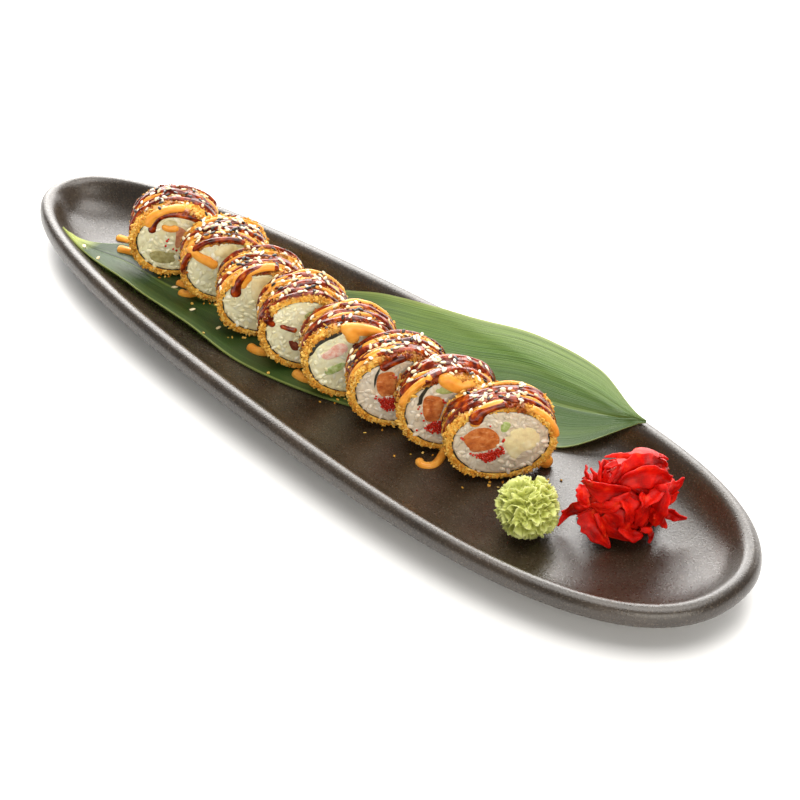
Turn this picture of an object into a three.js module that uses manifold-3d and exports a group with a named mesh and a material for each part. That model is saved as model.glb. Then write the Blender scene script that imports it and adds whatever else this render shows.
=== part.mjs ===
// A long stoneware plate with eight breaded, sauced sushi roll pieces in a row
// on a green leaf, a crinkled ball of green paste and a heap of red ginger.
//
// Millimetres, +Z up. The origin is the middle of the plate's flat base, and
// +X points to the plate's wide end.
import * as THREE from 'three';
import * as BufferGeometryUtils from 'three/addons/utils/BufferGeometryUtils.js';
import Module from 'manifold-3d';

const wasm = await Module();
wasm.setup();

// Plate
const PLATE_LENGTH = 400;
const PLATE_WIDTH = 110.1; // across the middle of its length
const PLATE_HEIGHT = 20;
const PLATE_WIDENING = 0.2293; // how much fuller the +X end is than the other
const PLATE_FULLNESS = 0.1316; // how much both ends fill out against an oval
const PLATE_SQUARENESS = 2.236; // 2 would be an oval
const PLATE_SIDES = 46;
const FLOOR_Z = 6.2; // top of the flat floor
const CREST_INSET = 4.6; // from the widest line in to the top of the lip
const FLOOR_INSET = 34; // from the widest line in to the flat floor
const FOOT_INSET = 29; // from the widest line in to the flat base

// Leaf
const LEAF_LENGTH = 288;
const LEAF_THICKNESS = 0.6;
const LEAF_STEPS = 28;
const LEAF_TIP = [-168, -22]; // its end by the plate's narrow end
const LEAF_TURN = THREE.MathUtils.degToRad(15.3); // from +X towards +Y
const LEAF_HALF_WIDTHS = [2.5, 14, 17.5, 23, 29.5, 32, 31, 28, 23, 16.2, 0.5]; // evenly along
const LEAF_MIDRIB = [2.5, 5, -1, -3.5, -4.5, -5, -5, -3, 0.2, -1.2, -2]; // off the straight line
const LEAF_SLOPE = 0.5; // how steeply it climbs past the plate's lip
const LEAF_CREST_LIFT = 0.5; // over the top of the lip
const LEAF_BEND_INSET = 32; // where it leaves the flat floor
const LEAF_BEND = 1.35; // 1 would be a straight climb
const LEAF_RIPPLE = 0.2;
const LEAF_EDGE_LIFT = 3.2; // of the loose edge at the narrow end

// Gaps between pieces that touch
const GAP = 0.35;
const LEAF_GAP = 0.6; // under the leaf, the paste and the ginger
const ROLL_GAP = 0.5; // under the rolls

// Rolls: [x, y, turn of the cut face from +X in degrees, width, height, thickness]
const ROLLS = [
  [-124, 6, -42, 39.5, 34, 21.5],
  [-92.3, 7.6, -40, 40, 33, 20],
  [-62, 2, -40, 40, 34, 20],
  [-32, -1, -40, 39, 36.5, 20],
  [-4, -1.5, -40, 41, 36, 19],
  [24.5, -1.5, -40, 42, 35, 17.2],
  [50, 1, -41, 41, 36, 15.2],
  [77, 3, -41, 45, 35.5, 16.8],
];
const ROLL_LEAN = THREE.MathUtils.degToRad(6); // turn of the oval in the cut face
const ROLL_SIDES = 20;
const CRUST = 2.9; // thickness of the breading
const UNDER_SHARE = 0.6; // of that thickness, where the roll presses on it
const CRAG = 0.7; // how far its crags stand out or in
const NORI = 0.8;

// Fillings of each roll, as they lie in the cut face along its leaning oval:
// [name, x, z from the middle, half width, half height, turn in degrees]
const FILLINGS = [
  [['salmon', 5, 2.5, 3.2, 5.6, 8], ['omelette', 0, 8.4, 4.6, 3.2, -15], ['cucumber', -5, -7, 5.6, 3.6, 20]],
  [['cheese', 2, 8.2, 6.2, 3.6, -8]],
  [['cheese', 3.4, 4.5, 5.6, 8.2, -20]],
  [['avocado', 4, 6.6, 5, 3.2, 30], ['tuna', -5, -5.6, 2.6, 3.6, 20]],
  [['crab', -5.6, 5.2, 6.4, 4, 18], ['cucumber', -6, -2.8, 5.2, 2.5, 25], ['cheese', 3.6, 2.5, 2.6, 6, 20]],
  [['salmon', -4.4, 3.2, 4.1, 6.4, 12], ['roe', -5, -6.8, 4, 3, -12]],
  [['salmon', -5.6, 2.8, 3.9, 6.6, 12], ['roe', -5.6, -7.2, 3.8, 2.8, 10], ['avocado', -0.4, 11, 4.6, 2.1, -14]],
  [['salmon', -7.2, 2, 7.1, 5.9, 10], ['cheese', 8.6, -1.6, 7.4, 6.9, -24], ['cucumber', 1.9, 6.6, 2, 3, 25],
    ['roe', -4.6, -7.6, 3.8, 2.2, -20]],
];
const FILLING_SIDES = 8;
const FILLING_COLOURS = {
  salmon: 0xe07a48, omelette: 0xcfc08a, cucumber: 0x8fae5a, cheese: 0xefe6c0, avocado: 0xb9c27a,
  tuna: 0x8c3c26, crab: 0xe6a898, roe: 0xc4260e,
};

// Sauce: strands over each roll, in turn two sets of them. Each is [place from the front
// face to the back as a share, swing, first degree, last degree], where 0 degrees is the
// roll's right side and 90 its top
const STRANDS = [
  [[0.17, 1.1, 10, 165], [0.5, -1.2, -10, 180], [0.82, 1, 0, 165]],
  [[0.16, -1, 5, 180], [0.48, 1.2, -10, 170], [0.82, -1, 0, 160]],
];
const STRAND_HEIGHT = 1.2;
const RUN_SIDES = 5;
const RUN_STEPS = 4;
// Runs of sauce down the cut face of each roll: radius, then [x, z] from its middle
const FACE_RUNS = [
  { radius: 1.9, points: [[1, 16.5], [-5, 13.4], [-8.8, 10], [-9.7, 5.2]] },
  { radius: 2, points: [[-12.5, 12.6], [-10.5, 7.5], [-6, 4], [-2.7, 1.3]] },
  { radius: 2.1, points: [[-3, 17], [-8, 12.7], [-10.3, 8], [-10.7, 3.5]] },
  null,
  { radius: 2, points: [[2.4, 18], [2.7, 12], [3.7, 4.5]] },
  { radius: 1.2, points: [[-8, 15.4], [-4.6, 12.8], [-1.2, 15]] },
  { radius: 2, points: [[0.7, 17.4], [5, 12.2], [11, 12.2]] },
  { radius: 2.1, points: [[-4.6, 17.4], [-8, 13.3], [-9, 9.8]] },
];
// Tongues of sauce that run off each roll onto the leaf or the plate:
// radius, then [x, y, height above what it lies on] in the plate's frame
const TONGUES = [
  [{ radius: 1.5, points: [[-160, 0.5, 0], [-150, 4.5, 0], [-138, 9, 4.5]] },
    { radius: 1.6, points: [[-151, -6, 0], [-144, -3, 0.4], [-136, -1, 5]] }],
  [{ radius: 1.3, points: [[-112, -4, 0], [-106, -3, 0.2], [-97, 1, 3]] },
    { radius: 1.4, points: [[-105.5, -8, 0], [-101, -7.5, 0.3], [-94, -3, 4]] }],
  [],
  [{ radius: 1.6, points: [[-53.5, -13.5, 0], [-47, -13.5, 0.5], [-38, -10, 4]] }],
  [{ radius: 1.6, points: [[-26, -12.5, 0], [-19, -13, 0.5], [-10, -10, 4]] }],
  [],
  [{ radius: 1.4, points: [[51, -15.5, 0], [55, -17, 0], [58, -13, 0], [55, -4, 1.5]] }],
  [{ radius: 2.1, points: [[90.5, 19.5, 0.5], [88.5, 17, 3], [86, 12, 6]] }],
];

const SEEDS_PER_ROLL = 6;
const SEED = [1.5, 0.8, 0.6]; // half length, half width, half thickness

// Green paste
const PASTE_CENTRE = [112.5, -17.5];
const PASTE_RADIUS = 12.1;
const PASTE_HEIGHT = 24;
const PASTE_FOLD = 1.5;
const PASTE_DETAIL = 5;

// Ginger: a heap of thin slices, [direction in degrees, reach, root height, tip height,
// half width, arch] from the middle of the heap
const GINGER_CENTRE = [134.5, 11.5];
const GINGER_CORE = [13, 12, 12];
const GINGER_SLICE_THICKNESS = 1.3;
const GINGER_SLICES = [
  [226, 25, 9, 2, 4.5, 4], [258, 19, 13, 4, 7, 7], [300, 22, 14, 1.8, 7, 7], [335, 19, 14, 3, 8, 7],
  [36, 26, 10, 2, 5.5, 4], [63, 26, 14, 14, 6, 3], [72, 19, 20, 24, 8, 7], [110, 17, 20, 15, 8, 9],
  [150, 17, 20, 6, 8, 5], [190, 18, 18, 15, 5.5, 3], [215, 16, 20, 9, 6, 5], [285, 16, 22, 9, 7.5, 5],
  [5, 19, 20, 8, 7, 5],
];

const { sin, cos, abs, sign, min, max, PI, hypot } = Math;
const smooth = (low, high, value) => THREE.MathUtils.smoothstep(value, low, high);

// A repeatable draw between 0 and 1.
function draws(seed) {
  let state = seed;
  return () => {
    state = (state * 1664525 + 1013904223) % 4294967296;
    return state / 4294967296;
  };
}

// Value at share t of a row of evenly spaced values, on a smooth curve.
function valueAlong(values, t) {
  const knots = values.map((value, index) => new THREE.Vector2(index, value));
  return new THREE.SplineCurve(knots).getPoint(t).y;
}

function indexed(positions, triangles) {
  const geometry = new THREE.BufferGeometry();
  geometry.setAttribute('position', new THREE.Float32BufferAttribute(positions, 3));
  geometry.setIndex(triangles);
  return geometry;
}

// A closed skin over rows of points. Each row is a closed ring. With joined, the last row
// meets the first, otherwise each end row is closed by a fan to its middle.
function skin(rows, joined) {
  const count = rows[0].length;
  const positions = rows.flat(2);
  const triangles = [];
  const bands = joined ? rows.length : rows.length - 1;
  for (let band = 0; band < bands; band += 1) {
    const near = band * count;
    const far = ((band + 1) % rows.length) * count;
    for (let i = 0; i < count; i += 1) {
      const next = (i + 1) % count;
      triangles.push(near + i, near + next, far + next, near + i, far + next, far + i);
    }
  }
  if (!joined) {
    for (const [row, turn] of [[0, false], [rows.length - 1, true]]) {
      const centre = positions.length / 3;
      const sum = rows[row].reduce((total, p) => total.map((value, axis) => value + p[axis]), [0, 0, 0]);
      positions.push(...sum.map((value) => value / count));
      for (let i = 0; i < count; i += 1) {
        const pair = [row * count + i, row * count + (i + 1) % count];
        triangles.push(...(turn ? pair : pair.reverse()), centre);
      }
    }
  }
  return indexed(positions, triangles);
}

// A thin sheet with both faces split alike. pointAt(a, b) is its middle surface.
function sheet(pointAt, stepsAlong, stepsAcross, thickness) {
  const count = (stepsAlong + 1) * (stepsAcross + 1);
  const at = (i, j) => i * (stepsAcross + 1) + j;
  const middle = [];
  for (let i = 0; i <= stepsAlong; i += 1) {
    for (let j = 0; j <= stepsAcross; j += 1) {
      middle.push(new THREE.Vector3(...pointAt(i / stepsAlong, (2 * j) / stepsAcross - 1)));
    }
  }
  const faces = [];
  for (let i = 0; i < stepsAlong; i += 1) {
    for (let j = 0; j < stepsAcross; j += 1) {
      faces.push([at(i, j), at(i + 1, j), at(i + 1, j + 1)], [at(i, j), at(i + 1, j + 1), at(i, j + 1)]);
    }
  }
  const normals = middle.map(() => new THREE.Vector3());
  for (const [a, b, c] of faces) {
    const side = middle[b].clone().sub(middle[a]);
    const normal = side.cross(middle[c].clone().sub(middle[a]));
    [a, b, c].forEach((corner) => normals[corner].add(normal));
  }
  const half = (way) => middle.flatMap((point, index) => {
    const normal = normals[index].clone().normalize();
    return point.clone().addScaledVector(normal, (way * thickness) / 2).toArray();
  });
  const triangles = [];
  for (const [a, b, c] of faces) {
    triangles.push(a, b, c, c + count, b + count, a + count);
  }
  const edge = [];
  for (let j = 0; j < stepsAcross; j += 1) edge.push(at(0, j));
  for (let i = 0; i < stepsAlong; i += 1) edge.push(at(i, stepsAcross));
  for (let j = stepsAcross; j > 0; j -= 1) edge.push(at(stepsAlong, j));
  for (let i = stepsAlong; i > 0; i -= 1) edge.push(at(i, 0));
  edge.forEach((a, index) => {
    const b = edge[(index + 1) % edge.length];
    triangles.push(a, b, b + count, a, b + count, a + count);
  });
  return indexed([...half(1), ...half(-1)], triangles);
}

// Joining and cutting
function toSolid(geometry) {
  const bare = geometry.clone();
  bare.deleteAttribute('normal');
  bare.deleteAttribute('uv');
  const merged = BufferGeometryUtils.mergeVertices(bare, 1e-4);
  return new wasm.Manifold(new wasm.Mesh({
    numProp: 3,
    vertProperties: Float32Array.from(merged.attributes.position.array),
    triVerts: Uint32Array.from(merged.index.array),
  }));
}

function toGeometry(solid) {
  const mesh = solid.getMesh();
  return indexed(Array.from(mesh.vertProperties), Array.from(mesh.triVerts));
}

// The largest loose piece of a solid: scraps that a cut leaves are dropped.
function largest(solid) {
  return solid.decompose().reduce((best, piece) => (piece.volume() > best.volume() ? piece : best));
}

// A run of sauce along a curve.
function run(points, radius) {
  const path = new THREE.CatmullRomCurve3(points.map((point) => new THREE.Vector3(...point)));
  const section = new THREE.Shape();
  section.absarc(0, 0, radius, 0, 2 * PI);
  const outline = new THREE.Shape(section.getSpacedPoints(RUN_SIDES).slice(0, RUN_SIDES));
  const settings = { steps: RUN_STEPS, extrudePath: path, bevelEnabled: false };
  const tube = new THREE.ExtrudeGeometry(outline, settings);
  return toSolid(tube);
}

// Plate
const halfWidthFactor = (t) => 1 + PLATE_WIDENING * t + PLATE_FULLNESS * t * t;

function platePoint(angle, inset, z) {
  const power = 2 / PLATE_SQUARENESS;
  const along = sign(cos(angle)) * abs(cos(angle)) ** power;
  const across = sign(sin(angle)) * abs(sin(angle)) ** power;
  const x = (PLATE_LENGTH / 2 - inset) * along;
  const y = ((PLATE_WIDTH / 2) * halfWidthFactor(along) - inset) * across;
  return [x, y, z];
}

// Half of the plate's cross-section: how far in from the widest line, and how high.
function plateProfile() {
  const profile = new THREE.Path();
  profile.moveTo(FOOT_INSET, 0);
  profile.lineTo(FOOT_INSET - 3, 0.8);
  profile.bezierCurveTo(20, 5, 1, 8.5, 0, 14.5);
  profile.bezierCurveTo(0, 18.4, 1.8, PLATE_HEIGHT, CREST_INSET, PLATE_HEIGHT);
  profile.bezierCurveTo(8.4, PLATE_HEIGHT, 9.4, 15, 13, 11.8);
  profile.bezierCurveTo(17, 8.2, 23, 6.9, FLOOR_INSET, FLOOR_Z);
  return profile.getPoints(3);
}

function plateGeometry() {
  const rows = plateProfile().map((step) => {
    const row = [];
    for (let i = 0; i < PLATE_SIDES; i += 1) {
      row.push(platePoint((2 * PI * i) / PLATE_SIDES, step.x, step.y));
    }
    return row;
  });
  return skin(rows, false);
}

// How far in from the plate's widest line a point lies.
function insetAt(x, y) {
  let low = -30;
  let high = FLOOR_INSET + 4;
  for (let step = 0; step < 24; step += 1) {
    const inset = (low + high) / 2;
    const t = x / (PLATE_LENGTH / 2 - inset);
    const halfWidth = (PLATE_WIDTH / 2) * halfWidthFactor(max(-1, min(1, t))) - inset;
    const reach = abs(t) ** PLATE_SQUARENESS + abs(y / halfWidth) ** PLATE_SQUARENESS;
    if (reach > 1) high = inset;
    else low = inset;
  }
  return low;
}

const INNER_SLOPE = plateProfile().filter((step) => step.x >= CREST_INSET && step.y >= FLOOR_Z);

// Height of the plate's upper side, taken as level past the top of the lip.
function plateTop(x, y) {
  const inset = insetAt(x, y);
  if (inset <= CREST_INSET) return PLATE_HEIGHT;
  const far = INNER_SLOPE.findIndex((step) => step.x >= inset);
  if (far < 1) return FLOOR_Z;
  const [from, to] = [INNER_SLOPE[far - 1], INNER_SLOPE[far]];
  return from.y + ((to.y - from.y) * (inset - from.x)) / (to.x - from.x);
}

// Leaf: its underside lies just over the plate, climbs over the lip at the back of the
// wide end, and lifts at its front edge by the narrow end.
function leafUnderside(x, y) {
  const top = plateTop(x, y);
  const inset = insetAt(x, y);
  const way = max(0, LEAF_BEND_INSET - inset) / (LEAF_BEND_INSET - CREST_INSET);
  const climb = inset > CREST_INSET
    ? FLOOR_Z + (PLATE_HEIGHT + LEAF_CREST_LIFT - FLOOR_Z) * way ** LEAF_BEND
    : PLATE_HEIGHT + LEAF_CREST_LIFT + LEAF_SLOPE * (CREST_INSET - inset);
  const back = y > 0 ? smooth(-70, -15, x) * max(0, climb - top) : 0;
  const front = LEAF_EDGE_LIFT * smooth(11, 24, -y) * smooth(-160, -120, x) * (1 - smooth(-85, -45, x));
  const ripple = LEAF_RIPPLE * (1 + sin(x / 9 + y / 14)) * smooth(20, 34, abs(y));
  return top + LEAF_GAP + back + front + ripple;
}

function leafPoint(t, across) {
  const s = t * LEAF_LENGTH;
  const v = valueAlong(LEAF_MIDRIB, t) + across * valueAlong(LEAF_HALF_WIDTHS, t);
  const x = LEAF_TIP[0] + s * cos(LEAF_TURN) - v * sin(LEAF_TURN);
  const y = LEAF_TIP[1] + s * sin(LEAF_TURN) + v * cos(LEAF_TURN);
  return [x, y, leafUnderside(x, y) + LEAF_THICKNESS / 2];
}

// Height that things rest at: over the leaf, or as high where there is no leaf.
const restingHeight = (x, y) => leafUnderside(x, y) + LEAF_THICKNESS + ROLL_GAP;

// Rolls. In a roll's own frame x runs to the right of its cut face, y away from the viewer
// and z up. The front cut face is at y = -thickness / 2.
function rollFrame([x, y, turn, width, height, thickness]) {
  const angle = THREE.MathUtils.degToRad(turn + 90);
  const halfHeight = hypot((width / 2) * sin(ROLL_LEAN), (height / 2) * cos(ROLL_LEAN));
  const toPlate = (u, v) => [x + u * cos(angle) - v * sin(angle), y + u * sin(angle) + v * cos(angle)];
  const toRoll = (px, py) => [
    (px - x) * cos(angle) + (py - y) * sin(angle), -(px - x) * sin(angle) + (py - y) * cos(angle),
  ];
  const middle = restingHeight(x, y) + halfHeight;
  return { x, y, angle, width, height, thickness, middle, toPlate, toRoll };
}

// From the leaning oval's own two axes to the roll's frame.
function leaned(across, y, up) {
  const x = across * cos(ROLL_LEAN) - up * sin(ROLL_LEAN);
  const z = across * sin(ROLL_LEAN) + up * cos(ROLL_LEAN);
  return [x, y, z];
}

// Point of a roll's oval section, a given distance inside its outer line.
function ovalPoint(roll, angle, inset, y) {
  const under = sin(angle) < 0 && inset > 0;
  const across = (roll.width / 2 - inset) * cos(angle);
  const up = (roll.height / 2 - inset * (under ? UNDER_SHARE : 1)) * sin(angle);
  return leaned(across, y, up);
}

// The same point lifted, where needed, to rest on what is under it.
function restingPoint(roll, point) {
  const [px, py] = roll.toPlate(point[0], point[1]);
  return [point[0], point[1], max(point[2], restingHeight(px, py) - roll.middle)];
}

function ovalRow(roll, inset, y, change = () => [0, 0]) {
  const row = [];
  for (let i = 0; i < ROLL_SIDES; i += 1) {
    const [deeper, along] = change();
    row.push(ovalPoint(roll, (2 * PI * i) / ROLL_SIDES, inset + deeper, y + along));
  }
  return row;
}

// One strand of sauce: a ridge over part of the way round, and breading for the rest.
function ridgeRow(roll, [share, swing, first, last], draw) {
  const phase = 2 * PI * draw();
  const row = [];
  for (let i = 0; i < ROLL_SIDES; i += 1) {
    const angle = (2 * PI * i) / ROLL_SIDES;
    const degrees = (THREE.MathUtils.radToDeg(angle) + 90) % 360 - 90;
    const covered = degrees >= first && degrees <= last;
    const inset = covered ? -STRAND_HEIGHT : CRAG * (2 * draw() - 1);
    row.push(ovalPoint(roll, angle, inset, (share - 0.5) * roll.thickness + swing * sin(2.4 * angle + phase)));
  }
  return row;
}

function crustRing(roll, strands, draw) {
  const half = roll.thickness / 2;
  const crags = (along) => () => [CRAG * (2 * draw() - 1), along * (2 * draw() - 1)];
  const rows = [
    ovalRow(roll, 0.9, -half, crags(0.4)), ovalRow(roll, CRUST, -half),
    ovalRow(roll, CRUST, half), ovalRow(roll, 0.9, half, crags(0.4)),
  ];
  for (let i = strands.length - 1; i >= 0; i -= 1) {
    rows.push(ridgeRow(roll, strands[i], draw));
    if (i > 0) {
      const between = (strands[i][0] + strands[i - 1][0]) / 2;
      rows.push(ovalRow(roll, 0.3, (between - 0.5) * roll.thickness, crags(0.3)));
    }
  }
  return toSolid(skin(rows.map((row) => row.map((point) => restingPoint(roll, point))), true));
}

function seed(roll, draw) {
  const angle = PI * (0.24 + 0.5 * draw());
  const geometry = new THREE.SphereGeometry(1, 5, 3);
  geometry.scale(...SEED);
  geometry.rotateZ(PI * draw());
  geometry.rotateY(PI / 2 - angle);
  geometry.translate(...ovalPoint(roll, angle, -0.7, (draw() - 0.5) * (roll.thickness - 4)));
  return toSolid(geometry);
}

function crust(roll, index) {
  const draw = draws(101 + index);
  let solid = crustRing(roll, STRANDS[index % STRANDS.length], draw);
  const face = FACE_RUNS[index];
  if (face) {
    const front = -roll.thickness / 2 - 0.3 * face.radius;
    solid = solid.add(run(face.points.map(([x, z]) => leaned(x, front, z)), face.radius));
  }
  for (const tongue of TONGUES[index]) {
    const points = tongue.points.map(([px, py, lift]) => {
      const z = restingHeight(px, py) + tongue.radius + lift - roll.middle;
      return [...roll.toRoll(px, py), z];
    });
    solid = solid.add(run(points, tongue.radius));
  }
  for (let i = 0; i < SEEDS_PER_ROLL; i += 1) solid = solid.add(seed(roll, draw));
  return solid;
}

// The filled middle of a roll, which the sauce on its face stays clear of.
function fillingSpace(roll) {
  const half = roll.thickness / 2;
  return toSolid(skin([ovalRow(roll, CRUST, half + GAP), ovalRow(roll, CRUST, -half - GAP)], false));
}

function nori(roll) {
  const half = roll.thickness / 2 - 0.2;
  const [outer, inner] = [CRUST + GAP, CRUST + GAP + NORI];
  const rows = [[outer, -half], [inner, -half], [inner, half], [outer, half]];
  return skin(rows.map(([inset, y]) => ovalRow(roll, inset, y)), true);
}

// The rice, which fills the oval inside the seaweed.
function rice(roll) {
  const half = roll.thickness / 2 - 0.6;
  const edge = CRUST + 2 * GAP + NORI;
  return toSolid(skin([ovalRow(roll, edge, half), ovalRow(roll, edge, -half)], false));
}

// The space inside the seaweed, which the fillings keep to.
function insideSeaweed(roll) {
  const half = roll.thickness;
  const edge = CRUST + 2 * GAP + NORI;
  return toSolid(skin([ovalRow(roll, edge, half), ovalRow(roll, edge, -half)], false));
}

// A strip of filling that runs through the roll, grown by a margin to cut its bed.
function filling(roll, [, x, z, halfWidth, halfHeight, turn], margin, draw) {
  const angle = THREE.MathUtils.degToRad(turn);
  const shape = new THREE.Shape();
  for (let i = 0; i < FILLING_SIDES; i += 1) {
    const around = (2 * PI * i) / FILLING_SIDES;
    const swell = 1 + 0.13 * (2 * draw() - 1);
    const u = (halfWidth * swell + margin) * cos(around);
    const v = (halfHeight * swell + margin) * sin(around);
    const point = [x + u * cos(angle) - v * sin(angle), z + u * sin(angle) + v * cos(angle)];
    if (i === 0) shape.moveTo(...point);
    else shape.lineTo(...point);
  }
  const length = roll.thickness - 0.6 + 4 * margin;
  const geometry = new THREE.ExtrudeGeometry(shape, { depth: length, bevelEnabled: false });
  geometry.rotateX(PI / 2);
  geometry.translate(0, length / 2, 0);
  geometry.rotateY(-ROLL_LEAN);
  return toSolid(geometry);
}

// Green paste: a ball of crinkled ribbons on a flattened foot.
function pasteGeometry() {
  const geometry = new THREE.IcosahedronGeometry(1, PASTE_DETAIL);
  const position = geometry.attributes.position;
  const point = new THREE.Vector3();
  const floor = FLOOR_Z + LEAF_GAP;
  for (let i = 0; i < position.count; i += 1) {
    point.fromBufferAttribute(position, i).normalize();
    const fold = sin(7 * point.x + 4 * sin(5 * point.y + 3 * point.z))
      + sin(8 * point.z + 4 * sin(6 * point.x - 4 * point.y));
    const radius = PASTE_RADIUS + PASTE_FOLD * (fold / 2 + 0.2);
    const z = floor + PASTE_HEIGHT / 2 + point.z * radius * (PASTE_HEIGHT / 2 / PASTE_RADIUS);
    position.setXYZ(i, PASTE_CENTRE[0] + point.x * radius, PASTE_CENTRE[1] + point.y * radius, max(z, floor));
  }
  return geometry;
}

// Ginger: a small core with its slices fused on.
function gingerSlice([direction, reach, rootHeight, tipHeight, halfWidth, arch]) {
  const angle = THREE.MathUtils.degToRad(direction);
  const along = new THREE.QuadraticBezierCurve(
    new THREE.Vector2(1, rootHeight),
    new THREE.Vector2(reach * 0.55, max(rootHeight, tipHeight) + arch),
    new THREE.Vector2(reach, tipHeight),
  );
  const pointAt = (a, b) => {
    const spine = along.getPoint(a);
    const width = halfWidth * (0.08 + 0.92 * sin(PI * (0.18 + 0.82 * a)) ** 0.8);
    const side = b * width;
    const curl = 0.22 * halfWidth * (b * b) * (a < 0.9 ? 1 : 0);
    const x = GINGER_CENTRE[0] + spine.x * cos(angle) - side * sin(angle);
    const y = GINGER_CENTRE[1] + spine.x * sin(angle) + side * cos(angle);
    return [x, y, FLOOR_Z + LEAF_GAP + max(spine.y - curl, GINGER_SLICE_THICKNESS / 2)];
  };
  return toSolid(sheet(pointAt, 3, 2, GINGER_SLICE_THICKNESS));
}

function gingerGeometry(paste) {
  const floor = FLOOR_Z + LEAF_GAP;
  const core = new THREE.IcosahedronGeometry(1, 1);
  core.scale(...GINGER_CORE);
  core.translate(GINGER_CENTRE[0], GINGER_CENTRE[1], floor + GINGER_CORE[2]);
  let heap = toSolid(core);
  GINGER_SLICES.forEach((slice) => {
    heap = heap.add(gingerSlice(slice));
  });
  const grown = paste.translate([-PASTE_CENTRE[0], -PASTE_CENTRE[1], 0]).scale([1.05, 1.05, 1.05])
    .translate([PASTE_CENTRE[0], PASTE_CENTRE[1], -1]);
  return toGeometry(largest(heap.subtract(grown)));
}

function material(color, roughness) {
  return new THREE.MeshStandardMaterial({ color, roughness, metalness: 0 });
}

const STONEWARE = material(0x463f39, 0.42);
const LEAF_GREEN = material(0x5b8740, 0.5);
const PASTE_GREEN = material(0xbfd67a, 0.7);
const GINGER_RED = material(0xe0261c, 0.35);
const BREADING = material(0xcf953f, 0.8);
const SEAWEED = material(0x23261f, 0.6);
const RICE_WHITE = material(0xd9d6cc, 0.5);

const platter = new THREE.Group();

function place(parent, name, geometry, finish) {
  const mesh = new THREE.Mesh(geometry, finish);
  mesh.name = name;
  parent.add(mesh);
}

function placeRoll(size, index) {
  const roll = rollFrame(size);
  const group = new THREE.Group();
  group.position.set(roll.x, roll.y, roll.middle);
  group.rotation.z = roll.angle;
  platter.add(group);
  const name = `roll_${index + 1}`;
  const shell = largest(crust(roll, index).subtract(fillingSpace(roll)));
  place(group, `${name}_crust`, toGeometry(shell), BREADING);
  place(group, `${name}_nori`, nori(roll), SEAWEED);
  const inside = insideSeaweed(roll);
  let bed = rice(roll);
  let taken = null;
  FILLINGS[index].forEach((shape, order) => {
    const shapeSeed = 501 + 10 * index + order;
    let strip = filling(roll, shape, 0, draws(shapeSeed)).intersect(inside);
    if (taken) strip = strip.subtract(taken);
    const cut = filling(roll, shape, GAP, draws(shapeSeed));
    taken = taken ? taken.add(cut) : cut;
    bed = bed.subtract(cut);
    const finish = material(FILLING_COLOURS[shape[0]], 0.45);
    place(group, `${name}_${shape[0]}`, toGeometry(largest(strip)), finish);
  });
  place(group, `${name}_rice`, toGeometry(largest(bed)), RICE_WHITE);
}

place(platter, 'plate', plateGeometry(), STONEWARE);
place(platter, 'leaf', sheet(leafPoint, LEAF_STEPS, 6, LEAF_THICKNESS), LEAF_GREEN);
ROLLS.forEach(placeRoll);
const paste = pasteGeometry();
place(platter, 'green_paste', toGeometry(toSolid(paste)), PASTE_GREEN);
place(platter, 'ginger', gingerGeometry(toSolid(paste)), GINGER_RED);

export default platter;
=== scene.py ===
# %% [markdown]
# # Fried sushi rolls on a long stoneware plate
# Eight breaded roll pieces stand in a row on a long green leaf, striped with an orange and a
# dark sauce and sprinkled with sesame. A ball of green paste and a heap of red ginger lie by
# the wide end of the plate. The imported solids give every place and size. This file dresses
# them: each solid is replaced by a finished piece of the same form.

# %% Open the frame
import math
import bpy
import numpy as np
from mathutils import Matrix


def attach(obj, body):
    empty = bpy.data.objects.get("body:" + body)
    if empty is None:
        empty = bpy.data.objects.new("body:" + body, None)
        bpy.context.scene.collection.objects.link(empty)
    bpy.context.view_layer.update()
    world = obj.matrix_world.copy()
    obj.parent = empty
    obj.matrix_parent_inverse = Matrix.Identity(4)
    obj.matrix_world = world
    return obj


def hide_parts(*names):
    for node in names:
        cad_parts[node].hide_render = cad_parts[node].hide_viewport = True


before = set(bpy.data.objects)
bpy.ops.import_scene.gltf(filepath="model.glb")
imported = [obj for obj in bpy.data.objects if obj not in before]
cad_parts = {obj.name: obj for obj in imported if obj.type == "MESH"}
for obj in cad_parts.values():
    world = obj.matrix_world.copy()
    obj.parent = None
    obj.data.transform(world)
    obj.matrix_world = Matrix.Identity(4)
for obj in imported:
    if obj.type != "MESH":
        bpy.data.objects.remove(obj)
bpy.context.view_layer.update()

# %% [markdown]
# ## Helpers for shaping
# Food is easiest to think of in millimetres, so every size below is in millimetres and is
# turned into metres when it reaches a mesh. A primitive can be pushed about point by point,
# or its points can be placed by a rule. Uneven shapes that follow a measured outline are
# placed by a rule here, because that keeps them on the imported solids.

# %% Points of an object in millimetres
MM = 0.001


def only(obj):
    bpy.ops.object.select_all(action="DESELECT")
    obj.select_set(True)
    bpy.context.view_layer.objects.active = obj
    return obj


def added(name):
    obj = bpy.context.object
    obj.name = obj.data.name = name
    return only(obj)


def points_of(obj):
    flat = np.empty(len(obj.data.vertices) * 3, np.float32)
    obj.data.vertices.foreach_get("co", flat)
    return flat.reshape(-1, 3).astype(float) / MM


def place_points(obj, points):
    obj.data.vertices.foreach_set("co", (np.asarray(points) * MM).astype(np.float32).ravel())
    obj.data.update()


def unit_long(rows):
    """Each row scaled to a length of 1."""
    return rows / np.linalg.norm(rows, axis=-1, keepdims=True)


# %% Edit mode, modifiers and joining
def edited(obj, *steps):
    """Runs edit-mode operators on all of an object's points."""
    only(obj)
    bpy.ops.object.mode_set(mode="EDIT")
    bpy.ops.mesh.select_all(action="SELECT")
    for step in steps:
        step()
    bpy.ops.object.mode_set(mode="OBJECT")
    return obj


def face_out():
    bpy.ops.mesh.normals_make_consistent(inside=False)


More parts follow.
